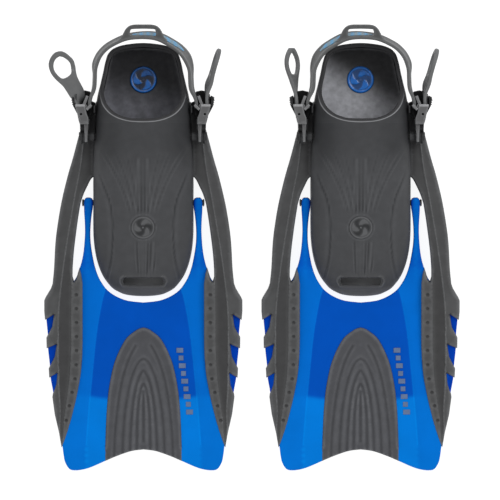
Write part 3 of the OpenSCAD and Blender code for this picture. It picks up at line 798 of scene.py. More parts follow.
RAIL_BACK = [(49.4, 72), (48.4, 88), (46.6, 103)]
RAIL_TAIL = [(48.6, 104.4), (50.8, 99)]
RIDGE = spline([(57.5, 88), (61.4, 62), (65, 34), (71.6, 0), (78.5, -40), (83.5, -75), (86.8, -105),
                (87.8, -135), (87.8, -165), (87, -195), (85.8, -215), (86.8, -238)], 6)
STRIP_LINE = spline([(74.6, -80), (75.2, -110), (75.4, -150), (77, -180), (80, -205), (83, -228),
                     (84.2, -250)], 6)
DIMPLES = [(69, -94.6), (69, -109), (69, -123.5), (69, -138), (69, -152.5), (69.3, -167.3), (70.6, -182),
           (73.7, -196), (76.5, -210), (79.8, -225)]
rail_outline = np.vstack([
    spline(RAIL_UPPER + RAIL_LOWER, 4), *[np.array(g, float) for g in GILLS],
    spline(STRIP_EDGE, 4)[::-1][1:], np.array(STRIP_TONGUE[::-1][1:], float),
    spline(RAIL_INNER, 4)[::-1], np.array(POCKET_SIDE, float), np.array(RAIL_BACK + RAIL_TAIL, float)])


def rail_height(y):
    """Half the rail's thickness about its middle, from the heel end to the blade tip."""
    ys = [-254, -200, -150, -110, -80, -30, 0, 30, 70, 88, 95]
    up = [3, 4.8, 6.8, 8.4, 9.8, 10, 10, 9, 7.4, 5.4, 3]
    low = [3, 4.8, 6.8, 8.4, 9.8, 10, 10, 11, 11.5, 11, 10]
    return np.interp(y, ys, up), np.interp(y, ys, low)


def rail_top(p):
    x, y = p.T
    z = rail_height(y)[0]
    ridge = distance(p, RIDGE)
    outer = x > line_x(RIDGE, y)
    lower = smooth(-60, -84, y)
    z = z + 0.9 * bump(ridge, 1.3) - 0.9
    z = z - np.where(outer, 0.13 * ridge, 0.07 * np.minimum(ridge, 9)) * (1 - smooth(-200, -240, y))
    strip = distance(p, STRIP_LINE)
    on_strip = (x < line_x(STRIP_LINE, y)) & (y < -66)
    z = z + np.where(on_strip, 0.8 * smooth(0, 1.0, strip), -0.5 * bump(strip - 4, 4)) * lower
    for dot in DIMPLES:
        z = z - 1.3 * smooth(2.0, 0.9, np.hypot(x - dot[0], y - dot[1]))
    for tail in ((93.6, -120), (92.4, -151), (90.4, -183)):
        groove = distance(p, [(tail[0] - 6.4, tail[1] + 22), (tail[0], tail[1] + 6)])
        z = z - 0.6 * bump(groove, 1.4)
    return z


def rail_low(p):
    y = p[:, 1]
    return -rail_height(y)[1] + 0.8 * bump(distance(p, RIDGE), 4) - 0.8


def rail_painted_shading(p):
    """Painted light and shade: lighter along the ridge, the outer side of the gills, the raised strip and the
    crease at the pocket; darker in the channel, the dimples and beside the pocket.
    """
    x, y = p[:, 0], p[:, 1]
    flat = p[:, :2]
    ridge = distance(flat, RIDGE)
    outer = x > line_x(RIDGE, y)
    tone = 0.28 + 0.35 * bump(ridge, 1.1) + np.where(outer, 0.22 * smooth(-86, -100, y), 0)
    strip = distance(flat, STRIP_LINE)
    on_strip = (x < line_x(STRIP_LINE, y)) & (y < -66)
    tone = tone + np.where(on_strip, 0.12, -0.2 * smooth(-30, -84, y) * (1 - outer) * smooth(0.5, 2, strip))
    for dot in DIMPLES:
        tone = tone - 0.4 * bump(np.hypot(x - dot[0], y - dot[1]), 1.7)
    pocket_side = distance(flat, POCKET_SIDE + RAIL_BACK)
    tone = tone - 0.25 * bump(pocket_side - 4, 4) * smooth(22, 34, y)
    tone = tone + 0.8 * bump(pocket_side, 1.2) * (p[:, 2] > 0)
    return np.clip(tone, 0, 1)


rail_shape = slab(rail_outline, rail_top, rail_low, edge=2.2, step=2.6,
                  lines=[(RIDGE, 1.2), (STRIP_LINE, 0.8)], dots=[(d, 1.7) for d in DIMPLES])
rail_shading_tone = rail_painted_shading(rail_shape[0])

# ---------- blade and insert ----------

U_EDGE = [(0, -103.2), (16, -101.4), (28, -96.9), (37, -90.6), (42.6, -83.4), (46.6, -76), (50, -66),
          (52.5, -54), (54.2, -42), (54.6, -31), (54, -20), (52.8, -10), (51.9, -5), (51.8, 2)]
ARM_END = [(52.6, 4), (54.6, 5.2), (58.6, 5.2), (60.4, 3.6)]
ARM_OUT = [(61, 0), (60.9, -8), (60.2, -20), (60, -31), (60.8, -44), (61.9, -53), (63.3, -60), (65, -66),
           (68.5, -76), (74, -84), (84, -92), (92, -98), (97.6, -105), (100, -114), (100, -121), (98.4, -138),
           (98.4, -150), (96.4, -169), (95.8, -181), (92.8, -198), (90.6, -218), (86, -238), (83.4, -254)]
CORNER = [(83.4, -254), (82.4, -262), (80.8, -269), (76.4, -275.8), (70, -277.2), (61, -276), (53, -273.4),
          (43, -269), (29, -262.8), (13, -257.2), (0, -255.4)]
INSERT_END_X = 39.5
INSERT_EDGE = spline([(0, -129), (4.4, -130.2), (8.8, -132.8), (16.4, -138.9), (21.8, -147), (27, -157.9),
                      (30.6, -168), (33.6, -181), (36.3, -198), (38.2, -221), (39.4, -252)], 4)
half_blade = np.vstack([spline(U_EDGE, 3), ARM_END, spline(ARM_OUT, 3)[:-1], spline(CORNER, 4)])
blade_outline = np.vstack([half_blade, flip(half_blade)[1:-1]])
trailing = spline(CORNER, 8)
insert_end = (INSERT_END_X, float(line_x(trailing[:, ::-1], INSERT_END_X)))
tail_line = np.array([p for p in trailing if p[0] < INSERT_END_X])
insert_half = np.vstack([INSERT_EDGE, [insert_end], tail_line])
insert_outline = np.vstack([insert_half, flip(insert_half)[1:-1]])
hole_half = INSERT_EDGE * [0.98, 1] + [0, -0.6]
blade_hole = np.vstack([hole_half, flip(hole_half)[:-1]])
BAND = spline([(35, -62), (38, -84), (43, -103), (48.5, -135), (52.6, -174), (55, -200), (57, -224),
               (59, -250)], 6)
PANEL_END = spline([(0, -203), (30, -202), (44, -201), (56, -199)], 4)


def half_plate(p):
    """Half the thickness of the plate, which thickens into the two arms."""
    y = p[:, 1]
    return np.interp(y, [-105, -85, -60, -30, 5], [PLATE_T / 2, 3.4, 5.0, 5.4, 5.4])


def blade_relief(p):
    flat = folded(p)
    x, y = flat.T
    band = distance(flat, BAND)
    on_band = (x > line_x(BAND, y)) & (y < -98)
    reach = smooth(-98, -106, y) * (1 - smooth(-236, -262, y))
    z = np.where(on_band, 0.55 * smooth(0, 2.5, band), 0) * reach
    z = z + 0.25 * bump(distance(flat, BAND + [3.5, 0]), 1.2) * reach
    z = z - 0.3 * bump(np.abs(x - 60), 1.0) * smooth(-212, -226, y)
    z = z + 0.5 * bump(distance(flat, INSERT_EDGE * [1.09, 1] + [0, 3.2]), 2.0)
    panel = (y > line_x(PANEL_END[:, ::-1], x)) & ~on_band
    return z - 0.25 * panel * smooth(0, 3, distance(flat, PANEL_END)) * smooth(-100, -108, y)


def blade_top(p):
    return half_plate(p) + blade_relief(p) - 0.3


def blade_low(p):
    return -half_plate(p) - 0.6 * blade_relief(p) + 0.3


def blade_tint_and_shading(p):
    """A deep blue panel in the middle and lighter side bands, partly the plate's tint and partly painted
    light, with painted highlights, a painted reflection and painted shade.
    """
    flat = folded(p)
    x, y = flat.T
    off = x - line_x(BAND, y)
    below = smooth(-62, -70, y)
    band = smooth(-0.8, 0.8, off) * below
    low = smooth(2, -4, y - np.interp(x, PANEL_END[:, 0], PANEL_END[:, 1]))
    tone = 0.24 + 0.34 * band
    # The lighter tail below the panel is a painted reflection, and the thin line along each band edge a
    # painted highlight.
    tone = tone * (1 - low) + (0.84 - 0.14 * band) * low + 0.22 * bump(off, 0.9) * below
    # Painted highlight along the arms and painted shade on their bosses by the pocket.
    arm = smooth(-92, -44, y)
    boss = smooth(-10, -6, y) * smooth(54.2, 52.6, x)
    tone = tone + (0.34 + 0.3 * bump(x - 57, 3) - tone) * arm - 0.3 * boss
    # Painted shadow on the plate's edge beside the rubber gills.
    at_gills = smooth(86, 91, x) * smooth(-106, -112, y) * (1 - smooth(-226, -236, y))
    return np.clip(tone * (1 - 0.9 * at_gills), 0, 1)


blade_shape = slab(blade_outline, blade_top, blade_low, edge=1.3, step=3.6, holes=[blade_hole],
                   lines=[(BAND, 2.0), (flip(BAND), 2.0), (PANEL_END, 2.0), (flip(PANEL_END), 2.0)])
blade_tint_and_shading_tone = blade_tint_and_shading(blade_shape[0])

# Nested grooves that run down from the middle to the trailing edge, and the one along the middle.
GROOVES = [spline(line, 8) for line in (
    [(8, -148), (13.4, -158), (18, -170), (22.4, -186), (26.4, -210), (29.4, -239), (30.4, -264)],
    [(0, -161), (5, -165), (9.4, -173.5), (13.6, -186), (18.4, -211), (21, -239), (21.8, -262)],
    [(0, -173), (4, -179.6), (8, -192), (11.2, -212), (13.4, -239), (14, -260)],
    [(0, -187), (2.6, -193), (4.8, -206), (6.4, -224), (7, -259)],
    [(0, -195), (0.1, -220), (0, -247)])]


def insert_relief(p):
    flat = folded(p)
    border = distance(flat, INSERT_EDGE)
    z = 0.8 * bump(border - 2.2, 2.2) + 0.35
    for line in GROOVES:
        near = distance(flat, line)
        z = z - 0.42 * bump(near, 1.3) + 0.32 * bump(near - 2.8, 1.6)
    return z


def insert_top(p):
    return INSERT_T / 2 + insert_relief(p) - 0.6


def insert_low(p):
    return -INSERT_T / 2 - 0.5 * insert_relief(p) + 0.35


# Painted light and shade on the insert: a lighter raised border, dark grooves with lighter ridges beside
# them, and a light spot at the head of each groove.
def insert_painted_shading(p):
    flat = folded(p)
    tone = 0.46 + 0.12 * bump(distance(flat, INSERT_EDGE) - 2.2, 1.8)
    for line in GROOVES:
        near = distance(flat, line)
        tone = tone - 0.2 * bump(near, 1.5) + 0.1 * bump(near - 3, 1.5)
        tone = tone + 0.2 * bump(np.hypot(flat[:, 0], flat[:, 1] - line[0, 1] - 1.5), 1.5)
    return np.clip(tone, 0, 1)


insert_lines = [(line, 1.1) for line in GROOVES] + [(np.array(flip(line)), 1.1) for line in GROOVES[:-1]]
insert_shape = slab(insert_outline, insert_top, insert_low, edge=0.9, step=2.0, lines=insert_lines)
insert_shading_tone = insert_painted_shading(insert_shape[0])

mark_shape = []
for k in range(9):
    wide = 3.5 if k % 2 == 0 else 2.5
    x, y = 37.6 + 1.25 * k, -150 - 8 * k
    bar = [(x - wide, y - 5), (x + wide, y - 5), (x + wide, y), (x - wide, y)]
    mark_shape.append(prism(bar, PLATE_T / 2 - 0.2, PLATE_T / 2 + 0.3, edge=0.25, step=2.0))
mark_shape = joined(*mark_shape)

# ---------- strap and loops ----------

STRAP_SIDE = [(54.75, 97), (54.75, 103), (53.2, 109), (50.8, 114.5), (49.6, 120), (49.2, 128), (48.6, 139),
              (44.6, 150), (37.4, 158.4), (28.4, 164), (18.5, 168.2), (9.5, 169.9), (0, 170.4)]
strap_half = resample(spline(STRAP_SIDE, 6), step=1.6)
strap_line = np.vstack([strap_half, strap_half[::-1][1:] * [-1, 1]])


def band_section():
    """A flat strap's section: rounded corners and a raised bead along both edges."""
    half_h, half_t = STRAP_H / 2, STRAP_T / 2
    r = min(half_t * 0.8, 1.2)
    in_t, in_h = half_t - r, half_h - r
    points = []
    for cx, cz, start in ((in_t, in_h, 0), (-in_t, in_h, 90), (-in_t, -in_h, 180), (in_t, -in_h, 270)):
        for a in np.radians(np.linspace(start, start + 90, 5)):
            points.append((cx + r * math.cos(a), cz + r * math.sin(a)))
        if start == 90:
            points += [(-half_t, half_h - 2.4), (-half_t + BEAD, half_h - 3.2), (-half_t + BEAD, 0),
                       (-half_t + BEAD, -half_h + 3.2), (-half_t, -half_h + 2.4)]
        if start == 270:
            points += [(half_t, -half_h + 2.4), (half_t - BEAD, -half_h + 3.2), (half_t - BEAD, 0),
                       (half_t - BEAD, half_h - 3.2), (half_t, half_h - 2.4)]
    return np.array(points)


def leaned(p, n, tip, pin, a, h):
    """Section points of a strap at p that leans by tip about the height pin above its middle.

    n is its outward side, a how far outward each point lies and h how high above the middle.
    """
    across = a * math.cos(tip) - (h - pin) * math.sin(tip)
    rise = h * math.cos(tip) + a * math.sin(tip)
    return np.c_[p[0] + n[0] * across, p[1] + n[1] * across, STRAP_Z + rise]


def sweep_band(line, lean, hold):
    """A band with its width upright along a plan line, and its painted highlight: a light strip along both
    edges of its outer face.

    lean tips its top inward, in radians, about the height hold above its middle.
    """
    line = np.asarray(line, float)
    section = band_section()
    rows = []
    for p, n, tip, pin, s in zip(line, right_of(heading(line)), lean, hold, run_along(line)):
        tooth = 0.0
        if TEETH_FROM < s < TEETH_TO:
            tooth = 0.35 * (0.5 + 0.5 * math.cos(s * 2 * math.pi / TOOTH_PITCH))
        a = section[:, 0] * (1 + tooth / STRAP_T * 2 * (np.abs(section[:, 1]) < STRAP_H / 2 - 2.5))
        rows.append(leaned(p, n, tip, pin, a, section[:, 1]))
    # Painted highlight along the beaded edges of the outer face.
    light = 0.36 + 0.9 * bump(np.abs(section[:, 1]) - STRAP_H / 2 + 1.5, 1.4) * (section[:, 0] > 0)
    return grid(rows, wrap=True, ends=True), np.tile(light, len(line))


def strap_lean(line, facing):
    """How far the strap leans, and the height above its middle about which it does."""
    side = smooth(-30, 30, line[:, 0] * facing)
    away = 5 + 10 * smooth(132, 144, line[:, 1])
    near = 9 + 18 * smooth(130, 152, line[:, 1])
    lean = np.radians(away * (1 - side) + near * side) * smooth(104, 118, line[:, 1])
    return lean, 5.0 * (1 - smooth(5, 36, line[:, 0] * facing))


RING_OUTLINE = [(25, 167), (22, 170), (20.2, 174), (17.6, 178.6), (14, 181.6), (9, 182.9), (0, 183)]
RING_HOLE = [(0, 171.6), (11.4, 171.2), (13.4, 172.6), (12.8, 176.8), (11, 178.2), (0, 178.6)]


def heel_strap(facing):
    lean, hold = strap_lean(strap_line, facing)
    band, light = sweep_band(strap_line, lean, hold)
    base = [(x, y - 1) for x, y in strap_line if abs(x) < 25.5]
    outline = np.vstack([spline(RING_OUTLINE, 4), flip(spline(RING_OUTLINE, 4))[1:],
                         sorted(base, key=lambda q: q[0])])
    hole = np.vstack([spline(RING_HOLE, 3), flip(spline(RING_HOLE, 3))[1:-1]])
    ring = prism(outline, STRAP_HIGH - 3.4, STRAP_HIGH - 0.2, edge=1.2, step=2.0, holes=[hole])
    return joined(band, ring), np.r_[light, np.full(len(ring[0]), 0.1)]


def inlay(facing):
    """The coloured stripe let into the strap's outer face, from the ring down one side."""
    keep = (strap_line[:, 0] * facing > -12) & (strap_line[:, 1] > 154)
    line = strap_line[keep]
    out = right_of(heading(line))
    rows = []
    reach = np.linspace(0, 1, len(line))
    for p, n, tip, pin, s in zip(line, out, *strap_lean(line, facing), reach):
        taper = 0.25 + 0.75 * min(1.0, 6 * min(s, 1 - s))
        a, h = np.array([0.9, 1.75, 1.75, 0.9]), np.array([-4.4, -4.0, 3.4, 3.8]) * taper
        rows.append(leaned(p, n, tip, pin, a, h))
    shape = grid(rows, wrap=True, ends=True)
    tone = 0.5 + 0.5 * np.sin(shape[0][:, 0] * 0.9)
    return shape, tone


LOOP_EDGE = spline([(0, 8.5), (14, 8.5), (22, 8.3), (30, 8.8), (36, 10.6), (42, 12.6), (48, 13.4), (54, 12.4),
                    (60, 8.4), (63.4, 4), (64.2, 0)], 4)
LOOP_HOLE = spline([(36, 0), (36.6, 4), (38.4, 6.4), (43, 8.2), (48, 9), (53, 7.4), (57, 4), (58.8, 0)], 4)


def thumb_loop(path, twist):
    """A tapered tail that ends in a thumb loop, along a plan path; twist gives how many degrees it
    is turned about the path at some distances along it."""
    outline = np.vstack([LOOP_EDGE, (LOOP_EDGE * [1, -1])[::-1][1:]])
    hole = np.vstack([LOOP_HOLE, (LOOP_HOLE * [1, -1])[::-1][1:-1]])

    def face(p):
        d = np.minimum(distance(p, closed_line(hole)), 60)
        edge = distance(p, closed_line(outline))
        stem = 1 - smooth(22, 30, p[:, 0])
        wave = np.cos(p[:, 0] * 2 * math.pi / TOOTH_PITCH)
        rungs = 0.3 * smooth(-0.2, 0.6, wave) * stem * (np.abs(p[:, 1]) < 5.6)
        return 1.75 + 0.35 * bump(edge - 1.6, 1.6) - 0.3 * stem + rungs + 0.2 * bump(d - 1.5, 1.5)

    points, faces = slab(outline, face, lambda p: -face(p), edge=1.2, step=1.8, holes=[hole])
    line = resample(spline(path, 8), step=0.5)
    run = run_along(line)
    ahead = heading(line)
    s = np.clip(points[:, 0], 0, run[-1])
    at = np.stack([np.interp(s, run, line[:, k]) for k in (0, 1)], 1)
    way = np.stack([np.interp(s, run, ahead[:, k]) for k in (0, 1)], 1)
    out = right_of(way)
    angle = np.radians(eased(*zip(*twist), points[:, 0]))
    across = points[:, 2] * np.cos(angle) + points[:, 1] * np.sin(angle)
    rise = points[:, 1] * np.cos(angle) - points[:, 2] * np.sin(angle)
    place_at = np.c_[at + out * across[:, None], STRAP_Z + rise]
    # (along, up, out) has the other hand than (x, y, z), so the faces turn over.
    return place_at, [tuple(f)[::-1] for f in faces]


# How each kind of loop runs and turns: its path, and its twist.
LOOP_WAYS = {
    "edge": ([(66.2, 96), (65.8, 104), (65.8, 112), (67.2, 120), (70.4, 130.6), (74.8, 146), (78.6, 158.2)],
             [(0, 0), (15, 3), (24, 18), (36, 8), (65, 8)]),
    "flat": ([(66.4, 96), (66.5, 104), (67.6, 111.3), (73.3, 121.6), (80, 133), (84.6, 144), (86.8, 157.6)],
             [(0, 0), (4, 8), (14, 60), (24, 88), (65, 88)]),
    "twisted": ([(66.2, 96), (66.4, 106), (67.6, 116), (69.2, 128), (70.4, 140), (71, 150), (71.2, 159)],
                [(0, 0), (15, 1), (24, 15), (34, 27), (65, 27)])}
OTHER_LOOPS = {("left", "outer"): "flat", ("right", "inner"): "twisted"}
loops = {kind: thumb_loop(*way) for kind, way in LOOP_WAYS.items()}

# ---------- strap hardware ----------

PLATE_GAP, BUCKLE_T, SIDE_GAP, TRAY_T = 0.3, 2.3, 0.4, 2.6
BUCKLE_LOW = STRAP_LOW - PLATE_GAP - BUCKLE_T
BUCKLE_TOP = STRAP_HIGH + PLATE_GAP
TRAY_LOW = BUCKLE_LOW - SIDE_GAP - TRAY_T
TONGUE_IN, TONGUE_OUT, TONGUE_END = 56.0, 64.0, 86.0
EYE_R, BORE_R, CHEEK_T = 8, 3.6, 1.6
TAB_LOW, TAB_HIGH = BUCKLE_LOW - 0.1, BUCKLE_LOW + 19.9
GRIP_LOW, GRIP_HIGH = BUCKLE_LOW + 3, BUCKLE_LOW + 17
TRAY_PLAN = [(56, 80), (64, 80), (65, 86), (72.2, 99.6), (73.4, 108.4), (70, 110.4), (66, 104), (57, 104),
             (54, 105), (49.2, 103), (49.2, 93), (54, 86)]
COVER = [(55.8, 80.4), (64.8, 80.4), (66, 84), (67.2, 90), (69.4, 98.4), (69, 99.8), (59.8, 99.8), (58, 92),
         (56, 87)]
FLOOR_PLAN = [(55.4, 86.8), (63.6, 86.8), (65.5, 90), (67.8, 95), (68.6, 104), (67.8, 112), (66, 114.6),
              (60, 115.6), (54.6, 114.4), (52.9, 112), (52.9, 92)]


def wall(line, thick, low, high, edge=0.5):
    """An upright wall of even thickness along a plan line."""
    line = np.asarray(line, float)
    out = right_of(heading(line)) * thick / 2
    return prism(np.vstack([line + out, (line - out)[::-1]]), low, high, edge=edge, step=2.5)


def circle(x, y, r, n=20):
    return [(x + r * math.cos(a), y + r * math.sin(a)) for a in turns(n)]


def build_clip():
    """Two cheeks that close in toward the eye on the post, the web between them and the tray."""
    eye = np.radians(np.linspace(50, 270, 16))
    side = [(POST_Y + EYE_R * math.cos(a), POST_Z + EYE_R * math.sin(a)) for a in eye]
    side += [(78, TRAY_LOW), (TONGUE_END, TRAY_LOW), (TONGUE_END, 53), (76, 52.6)]
    bore = circle(POST_Y, POST_Z, BORE_R)
    cheeks = []
    for wide, narrow in ((54.8, 56.4), (63.4, 62.4)):
        points, faces = prism(side, 0, CHEEK_T, axis="x", edge=0.5, holes=[bore])
        points[:, 0] += np.interp(points[:, 1], [60, TONGUE_END], [narrow, wide])
        cheeks.append((points, faces))
    middle = [(y * 0.94 + 4.4, z * 0.94 + 1.6) for y, z in side]
    web = prism(middle, TONGUE_IN + 0.6, TONGUE_OUT - 0.6, axis="x", edge=0.3, holes=[bore])
    web[0][:, 0] += (60 - web[0][:, 0]) * np.interp(web[0][:, 1], [60, TONGUE_END], [0.25, 0])
    tray = prism(TRAY_PLAN, TRAY_LOW, TRAY_LOW + TRAY_T, edge=0.7)
    return joined(*cheeks, web, tray)


def build_tabs():
    """The two tabs that are pressed toward each other, with their finger ribs."""
    out = prism([(70.1, 99.6), (71.6, 98.6), (73.2, 106.4), (72.2, 109.2), (70.4, 108)], TAB_LOW, TAB_HIGH,
                edge=0.4, step=2.0)
    grips = [wall([(71.6 + k * 0.4, 101 + k * 2.2), (72.8 + k * 0.4, 100.8 + k * 2.2)], 0.8, GRIP_LOW,
                  GRIP_HIGH, 0.3) for k in range(3)]
    into = prism([(49.4, 92.4), (50.6, 92.4), (50.6, 99.6), (49.4, 99.6)], TAB_LOW, TAB_HIGH, edge=0.3,
                 step=2.0)
    ribs = [wall([(49.0, 93.4 + k * 1.8), (49.8, 93.4 + k * 1.8)], 0.8, GRIP_LOW, GRIP_HIGH, 0.3)
            for k in range(4)]
    return joined(out, *grips), joined(into, *ribs)


def build_buckle():
    """The grey cover with its walls, ribs and back bar, their tone with a painted highlight on the back bar,
    and the dark cradle under it.
    """
    cover_top = BUCKLE_TOP + BUCKLE_T
    cover = prism(COVER, BUCKLE_TOP, cover_top, edge=0.9, step=2.0, holes=[circle(63.6, 90.8, 1.1, 14)])
    border = wall([(57, 82.6), (63.8, 82.6), (65, 87.6)], 0.8, cover_top - 0.2, cover_top + 0.35, 0.25)
    high = wall([(66.2, 87), (66.6, 91), (67, 94)], 1.2, BUCKLE_LOW + 4, BUCKLE_TOP + 1.2)
    inner = wall([(56.8, 82), (57.6, 88), (59.8, 97.6)], 1.3, BUCKLE_TOP - 4, BUCKLE_TOP + 1.2)
    front = prism([(58.4, 86.6), (63.6, 86.6), (63.6, 89.4), (58.4, 89.4)], BUCKLE_LOW, BUCKLE_TOP + 1,
                  edge=0.4)
    strip = prism([(57.2, 62.4), (59.6, 62.2), (60.4, 82), (56.4, 82)], POST_Z + 9.2, POST_Z + 10.8,
                  edge=0.6, step=2.0)
    rib = wall([(60.8, 100), (57, 109.6)], 3.0, BUCKLE_LOW + 3, BUCKLE_TOP - 2)
    guide = wall([(58, 95.4), (53, 100.4)], 2.8, BUCKLE_TOP, cover_top)
    bar = turned_x([(0.01, 69.6), (1.1, 69.5), (1.4, 69.1), (1.4, 60.1), (1.1, 59.7), (0.01, 59.6)], 99.6,
                   BUCKLE_TOP + 1.5, 20)
    dim = joined(cover, border, high, inner, front, strip)
    ribs = joined(rib, guide)
    # The back bar's full light tone is a painted highlight.
    tone = np.repeat([0.12, 0.4, 1.0], [len(part[0]) for part in (dim, ribs, bar)])
    floor = prism(FLOOR_PLAN, BUCKLE_LOW, BUCKLE_LOW + BUCKLE_T, edge=0.8)
    side = wall([(66.4, 88), (67.6, 94), (68.5, 99), (68.6, 105), (68.5, 111.6)], 0.8, BUCKLE_LOW,
                BUCKLE_TOP - 3, 0.3)
    return joined(dim, ribs, bar), tone, joined(floor, side)


def build_rollers():
    """A waisted strap roller on its pin, with a washer at each end."""
    low, high = STRAP_LOW - PLATE_GAP + 0.1, STRAP_HIGH + PLATE_GAP - 0.1
    profile = [(0.01, high + 2), (1.4, high + 2), (1.6, high + 1.8), (1.6, high), (3.3, high),
               (3.6, high - 0.4),
               (3.6, high - 2), (3.3, high - 2.6), (3.3, low + 2.6), (3.6, low + 2), (3.6, low + 0.4),
               (3.3, low), (1.6, low), (1.6, low - 1.8), (1.4, low - 2), (0.01, low - 2)]
    points, faces = lathe(profile, 28)
    return points + [ROLLER[0], ROLLER[1], 0], faces


def build_pin():
    """The pivot pin: a shank into the arm under a low domed head."""
    return turned_x([(0.01, 63.1), (2.2, 63), (3.3, 62.7), (3.8, 62.2), (3.9, 61.5), (3, 61.45), (3, 47.8),
                     (0.01, 47.8)], 0, PIVOT_Z)


def build_post():
    return turned_x([(0.01, 66), (1.6, 66), (1.9, 65.6), (2.6, 65.6), (2.9, 66), (4.2, 65.9), (4.6, 65.4),
                     (4.6, 64.5), (3.5, 64.4), (3.5, 55.6), (4.3, 55.5), (4.6, 55.1), (4.6, 50.4), (4.2, 50),
                     (3.5, 49.9), (3.5, 44.9), (0.01, 44.8)], POST_Y, POST_Z)


clip_shape = build_clip()
tab_out_shape, tab_in_shape = build_tabs()
buckle_shape, buckle_tone, cradle_shape = build_buckle()
roller_shape = build_rollers()
pin_shape = build_pin()
post_shape = build_post()

# ---------- the two fins ----------


for fin, facing_out in FINS.items():
    # The right fin's footbed and heel badge are painted lighter than the left's: painted light.
    painted_lit_fin = fin == "right"
    posts = joined(post_shape, mirrored(post_shape))
    pins = joined(pin_shape, mirrored(pin_shape))
    rollers = joined(roller_shape, mirrored(roller_shape))
    strap_shape, strap_tone = heel_strap(-facing_out)
    stripe, stripe_tone = inlay(-facing_out)
    piece(fin, "pocket_shell", shell_shape, POCKET, FOOT, ["foot_pocket"], shell_shading_tone)
    piece(fin, "pocket_lining", lining_shape, INNER, FOOT, tone=0.0)
    piece(fin, "pocket_rim", rim_shape, RIM, FOOT, tone=rim_highlight_tone)
    piece(fin, "toe_ramp", ramp_shape, INNER, FOOT, tone=1.0)
    piece(fin, "drain_slot_lip", slot_shape, POCKET, FOOT, tone=0.3)
    piece(fin, "contoured_footbed", footbed_shape, PAINTED_LIT_FOOTBED if painted_lit_fin else FOOTBED, FOOT,
          ["footbed"], painted_lit_footbed_tone if painted_lit_fin else footbed_shading_tone)
    piece(fin, "heel_medallion", heel_badge, BADGE_BLUE, FOOT, ["heel_badge"],
          heel_badge_tone + (0.3 if painted_lit_fin else 0))
    piece(fin, "instep_medallion", instep_badge, BADGE_GREY, FOOT, ["instep_badge"],
          instep_badge_tone)
    piece(fin, "blue_plate", blade_shape, BLADE, "blade_unit", ["blade"], blade_tint_and_shading_tone,
          "blade")
    piece(fin, "ribbed_insert", insert_shape, INSERT, "blade_unit", ["centre_insert"],
          insert_shading_tone, "blade")
    piece(fin, "bar_mark", mark_shape, MARK, "blade_unit", ["blade_mark"], kind="blade")
    piece(fin, "clip_posts", posts, CLIP, FOOT, ["strap_posts"])
    piece(fin, "headed_pins", pins, PIN, FOOT, ["pivot_pins"])
    piece(fin, "strap_rollers", rollers, BUCKLE, "buckles", ["rollers"], 0.3)
    piece(fin, "moulded_strap", strap_shape, STRAP, "strap", ["heel_strap"], strap_tone)
    piece(fin, "blue_stripe", stripe, INLAY, "strap", ["strap_inlay"], stripe_tone)
    for side in ("outer", "inner"):
        hand = facing_out if side == "outer" else -facing_out

        def sided(shape):
            return shape if hand > 0 else mirrored(shape)

        rail = piece(fin, f"rail_{side}", sided(rail_shape), RAIL, None,
                     [f"rail_upper_{side}", f"rail_lower_{side}"], rail_shading_tone, "rail")
        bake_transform(rail)
        piece(fin, f"swivel_clip_{side}", sided(clip_shape), CLIP, "clips", [f"clip_{side}"])
        for part, tab in (("out", tab_out_shape), ("in", tab_in_shape)):
            piece(fin, f"pinch_tab_{side}_{part}", sided(tab), CLIP, f"tab_{side}_{part}_body",
                  [f"tab_{side}_{part}"])
        piece(fin, f"cover_buckle_{side}", sided(buckle_shape), BUCKLE, "buckles",
              [f"buckle_{side}"], buckle_tone)
        piece(fin, f"buckle_cradle_{side}", sided(cradle_shape), CLIP, "buckles")
        loop = loops[OTHER_LOOPS.get((fin, side), "edge")]
        piece(fin, f"pull_loop_{side}", sided(loop), STRAP, "loops",
              [f"thumb_loop_{side}"], 0.65)

# ---------- floor, light and camera ----------


# In metres: half the floor's side, how far it lies under the soles, and the camera's height
FLOOR_HALF, FLOOR_DROP, CAMERA_HEIGHT = 6, 0.0004, 10.0


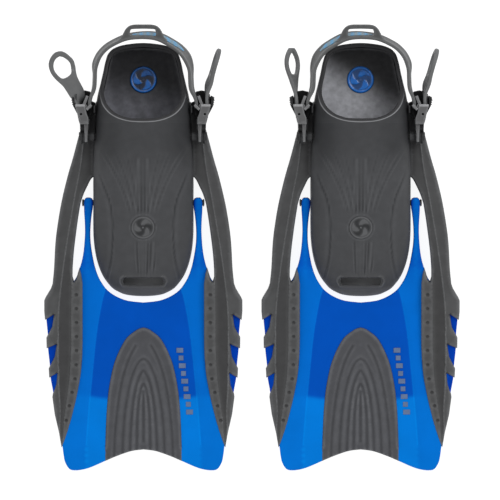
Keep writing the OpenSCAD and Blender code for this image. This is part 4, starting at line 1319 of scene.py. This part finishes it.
def emitter(name, where, size, power):
    """A soft round light that points at the middle of the floor."""
    data = bpy.data.lights.new(name, "AREA")
    data.shape = "DISK"
    data.size = size
    data.energy = power
    lamp = bpy.data.objects.new(name, data)
    bpy.context.scene.collection.objects.link(lamp)
    lamp.location = where
    length = math.sqrt(sum(v * v for v in where))
    lamp.rotation_euler = (math.acos(where[2] / length), 0, math.atan2(where[1], where[0]) + math.pi / 2)


world = bpy.data.worlds.new("soft_surround")
world.use_nodes = True
world.node_tree.nodes["Background"].inputs["Color"].default_value = (1.0, 1.0, 1.0, 1.0)
world.node_tree.nodes["Background"].inputs["Strength"].default_value = 0.44
bpy.context.scene.world = world
for name, where, size, power in (
        ("key_softbox", (1.1, 0.7, 1.3), 1.0, 10.5), ("fill_softbox", (-1.3, 0.2, 1.1), 1.2, 3.2),
        ("front_softbox", (0.0, -1.4, 1.2), 1.2, 5.0), ("back_softbox", (-0.2, 1.4, 1.2), 1.0, 4.0)):
    emitter(name, where, size, power)

floor_mesh = bpy.data.meshes.new("studio_floor")
corners = [(x * FLOOR_HALF, y * FLOOR_HALF, 0) for x, y in ((-1, -1), (1, -1), (1, 1), (-1, 1))]
floor_mesh.from_pydata(corners, [], [(0, 1, 2, 3)])
floor_mat = bpy.data.materials.new("white_floor")
floor_mat.use_nodes = True
floor_shader = floor_mat.node_tree.nodes["Principled BSDF"]
floor_shader.inputs["Base Color"].default_value = (0.3, 0.3, 0.3, 1)
floor_shader.inputs["Roughness"].default_value = 0.9
floor_shader.inputs["Specular IOR Level"].default_value = 0.0
floor_shader.inputs["Emission Color"].default_value = (1, 1, 1, 1)
floor_shader.inputs["Emission Strength"].default_value = 0.9
floor_mesh.materials.append(floor_mat)
floor = bpy.data.objects.new("studio_floor", floor_mesh)
floor.location = (0, 0, -FLOOR_DROP)
bpy.context.scene.collection.objects.link(floor)

camera_data = bpy.data.cameras.new("camera")
camera_data.lens = 697
camera_data.sensor_width = 36
camera_data.clip_end = 30
camera = bpy.data.objects.new("camera", camera_data)
camera.location = (-0.002, -0.002, CAMERA_HEIGHT)
bpy.context.scene.collection.objects.link(camera)
bpy.context.scene.camera = camera
bpy.context.scene.view_settings.view_transform = "Standard"
